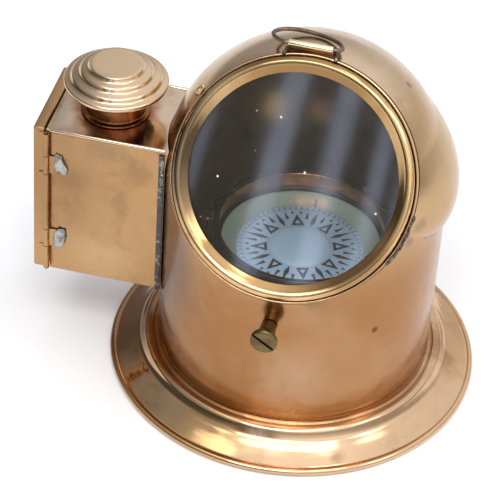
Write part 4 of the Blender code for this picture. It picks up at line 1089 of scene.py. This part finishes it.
def make_chimney():
    place = at(CHIMNEY_X)
    low = HOUSE_TOP + 0.0003
    neck = [
        (0.0165, 0.1628), (0.0165, low + 0.0016), (0.0192, low + 0.0008), (0.0192, low), (0.0153, low),
        (0.0153, 0.1628),
    ]
    bm = lathe(fillet(neck, 0.0008, 4, True), 128, place)
    piece("neck_skin", bm, NECK, "chimney_neck")
    bm = lathe(fillet(drops(CAP_OUTER), 0.0006, 3) + fillet(drops(CAP_INNER), 0.0004, 2), 192, place)
    piece("cap_skin", bm, CAP, "chimney_cap", body="flue_cap", angle=50.0)
    top = CAP_TOP - 0.0034
    sleeve = [(0.0146, top), (0.0149, 0.156), (0.0138, 0.156), (0.0138, top)]
    obj = bare("sleeve_skin", lathe(fillet(sleeve, 0.0002, 2, True), 96, place))
    for angle in (7.0, 52.0, 97.0, 142.0):
        vent = rod(polar(1.0, math.radians(angle)), (CHIMNEY_X, 0, 0.1709), 0.0029, -0.02, 0.02, 24)
        combine(obj, [vent])
    dress(obj, BROWNED, "cap_sleeve", body="flue_cap", angle=30.0)


def make_lamp():
    place = at(CHIMNEY_X)
    low = HOUSE_LOW + SHEET + 0.0003
    tank = [
        (0.0, 0.078), (0.0085, 0.078), (0.01, 0.0772), (0.0165, 0.0742), (0.0215, 0.0722),
        (0.0215, low + 0.001), (0.0205, low), (0.0, low),
    ]
    bm = lathe(fillet(tank, 0.001, 4), 128, place)
    piece("tank_skin", bm, HOUSE, "lamp_tank")
    cap = [(0.0, 0.081), (0.003, 0.081), (0.0036, 0.0802), (0.0036, 0.077), (0.0, 0.077)]
    bm = lathe(fillet(cap, 0.0003, 2), 40, at(CHIMNEY_X, -0.015))
    piece("filler_skin", bm, CAP, "lamp_filler_cap")
    burner = [
        (0.0, 0.088), (0.0062, 0.088), (0.01, 0.0845), (0.01, 0.0822), (0.0094, 0.0818), (0.01, 0.0814),
        (0.01, 0.0793), (0.008, 0.0783), (0.0, 0.0783),
    ]
    bm = lathe(fillet(burner, 0.0004, 2), 80, place)
    piece("burner_skin", bm, CAP, "lamp_burner")
    tube = fillet([(0.0045, 0.099), (0.0045, 0.0883), (0.0033, 0.0883), (0.0033, 0.099)], 0.0003, 2, True)
    obj = bare("wick_tube_skin", lathe(tube, 48, place))
    wheel_axis = (CHIMNEY_X, 0, WICK_AXIS_Z)
    combine(obj, [rod((-1, 0, 0), wheel_axis, 0.0012, 0.0032, 0.006, 24)])
    dress(obj, BROWNED, "wick_tube", angle=30.0)
    wick = [(0.0, 0.102), (0.0026, 0.102), (0.003, 0.1016), (0.003, 0.0883), (0.0, 0.0883)]
    bm = lathe(fillet(wick, 0.0003, 2), 40, place)
    piece("wick_skin", bm, COTTON, "wick", body="wick_strand")
    start = 0.0034
    knob = [
        (0.0, 0.0205), (0.0041, 0.0205), (0.0045, 0.0201), (0.0045, 0.0183), (0.0041, 0.0179),
        (0.0008, 0.0179), (0.0008, start), (0.0, start),
    ]
    wheel = lathe(fillet(knob, 0.0002, 2), 60, along((-1, 0, 0), wheel_axis))
    for i, vert in enumerate(wheel.verts):
        out = Vector((0.0, vert.co.y, vert.co.z - WICK_AXIS_Z))
        if out.length > 0.0042 and i % 2:
            vert.co -= out.normalized() * 0.0002
    piece("wick_wheel_skin", wheel, AGED, "wick_knob", body="wick_wheel", angle=30.0)


# Stage


def make_camera():
    azimuth, elevation, roll = (math.radians(v) for v in (11.0, 40.0, 3.9))
    right = polar(1.0, azimuth)
    level = math.cos(elevation)
    ahead = Vector((-math.sin(azimuth) * level, math.cos(azimuth) * level, -math.sin(elevation)))
    up = right.cross(ahead)
    turned_right = right * math.cos(roll) + up * math.sin(roll)
    turned_up = up * math.cos(roll) - right * math.sin(roll)
    target = Vector((0.0, 0.0, 0.08)) + turned_right * -0.0282 + turned_up * -0.004
    distance = 1.424
    data = bpy.data.cameras.new("camera")
    data.sensor_width = 36.0
    data.lens = 182.95
    data.clip_start = 0.05
    data.clip_end = 50.0
    cam = bpy.data.objects.new("camera", data)
    bpy.context.scene.collection.objects.link(cam)
    axes = Matrix((turned_right, turned_up, -ahead)).transposed().to_4x4()
    cam.matrix_world = Matrix.Translation(target - ahead * distance) @ axes
    bpy.context.scene.camera = cam


def make_floor():
    bm = bmesh.new()
    bmesh.ops.create_grid(bm, x_segments=2, y_segments=2, size=6.0)
    for vert in bm.verts:
        vert.co.z = FLOOR_Z
    obj = bare("floor", bm)
    g = Skin("floor_white")
    tone = g.ramp(g.noise(3.0, 2.0), 0.3, 0.7)
    g.set(base_color=g.mix(tone, (0.93, 0.93, 0.93), (0.95, 0.95, 0.95)), roughness=0.8)
    obj.data.materials.append(g.mat)


def make_sky():
    """Studio surround: bright high up, dim at the horizon and on the left, and warm where the pane faces."""
    world = bpy.data.worlds.new("studio")
    bpy.context.scene.world = world
    world.use_nodes = True
    g = Graph(world.node_tree, "Generated")
    x, y, z = (g.axis(name) for name in "XYZ")
    high = g.math("MULTIPLY", g.ramp(x, -0.66, 0.0, 0.3, 1.0), g.ramp(y, -0.5, 0.6, 1.32, 1.0))
    low = g.math("ADD", g.ramp(x, -0.6, 0.6, 0.09, 0.52), g.ramp(y, 0.2, 0.8, 0.0, 0.3))
    share = g.ramp(z, 0.2, 0.52)
    low = g.math("MULTIPLY", low, g.math("SUBTRACT", 1.0, share))
    level = g.math("ADD", g.math("MULTIPLY", high, share), low)
    top = g.ramp(z, 0.86, 0.98, 1.0, 1.12)
    facing = 0.0
    for part, toward in zip((x, y, z), PANE_FACES):
        facing = g.math("ADD", facing, g.math("MULTIPLY", part, toward))
    opposite = g.ramp(facing, 0.955, 0.985)
    top = g.math("MULTIPLY", top, g.math("SUBTRACT", 1.0, g.math("MULTIPLY", opposite, 0.7)))
    back = g.tree.nodes["Background"]
    tint = g.mix(share, (1.0, 0.98, 0.95), (0.99, 1.0, 1.04))
    g.fill(back.inputs[0], g.mix(opposite, tint, (1.0, 0.86, 0.62)))
    g.fill(back.inputs[1], g.math("MULTIPLY", level, top))


def panel(name, azimuth, elevation, distance, size, radiance, colour=(1.0, 1.0, 1.0)):
    """A soft light aimed at the object from the given side, in degrees from the window side."""
    a = math.radians(azimuth)
    e = math.radians(elevation)
    aim = Vector((math.sin(a) * math.cos(e), -math.cos(a) * math.cos(e), math.sin(e)))
    data = bpy.data.lights.new(name, "AREA")
    data.shape = "RECTANGLE"
    data.size, data.size_y = size
    data.energy = radiance * math.pi * size[0] * size[1]
    data.color = colour
    lamp = bpy.data.objects.new(name, data)
    bpy.context.scene.collection.objects.link(lamp)
    lamp.location = LIGHT_TARGET + distance * aim
    lamp.rotation_mode = "QUATERNION"
    lamp.rotation_quaternion = (-aim).to_track_quat("-Z", "Y")


def make_light():
    make_sky()
    panel("window_high", 35.0, 62.0, 2.0, (0.9, 0.5), 2.6)
    panel("window_right", 78.0, 48.0, 2.0, (0.5, 0.5), 3.0)
    panel("window_top", -4.0, 57.0, 2.0, (1.1, 0.55), 7.5)
    panel("overhead", 110.0, 79.0, 2.0, (0.34, 0.34), 3.6)
    panel("soft_left", -60.0, 66.0, 2.0, (0.4, 0.4), 1.8)
    strips = [
        (-16.0, 0.05, 0.8), (-13.4, 0.064, 1.2), (-9.7, 0.034, 2.1), (-7.4, 0.03, 2.0), (-5.5, 0.022, 2.0),
        (-4.5, 0.015, 1.4),
    ]
    for i, (azimuth, width, radiance) in enumerate(strips):
        panel("pane_%d" % i, azimuth, 30.0, 2.4, (width, 1.5), radiance, (0.8, 0.9, 1.2))
    panel("warm_spot", -10.3, 32.8, 2.3, (0.026, 0.034), 3.0, (1.0, 0.66, 0.26))
    panel("warm_spot_faint", -8.4, 33.0, 2.3, (0.03, 0.03), 1.2, (1.0, 0.62, 0.36))
    bpy.context.scene.view_settings.view_transform = "Standard"


for stage in (make_camera, make_floor, make_light):
    stage()
for group in (make_base, make_hood, make_window, make_bail, make_screws, make_gimbal, make_bowl, make_card):
    group()
for group in (make_house, make_door, make_solder, make_port, make_chimney, make_lamp):
    group()
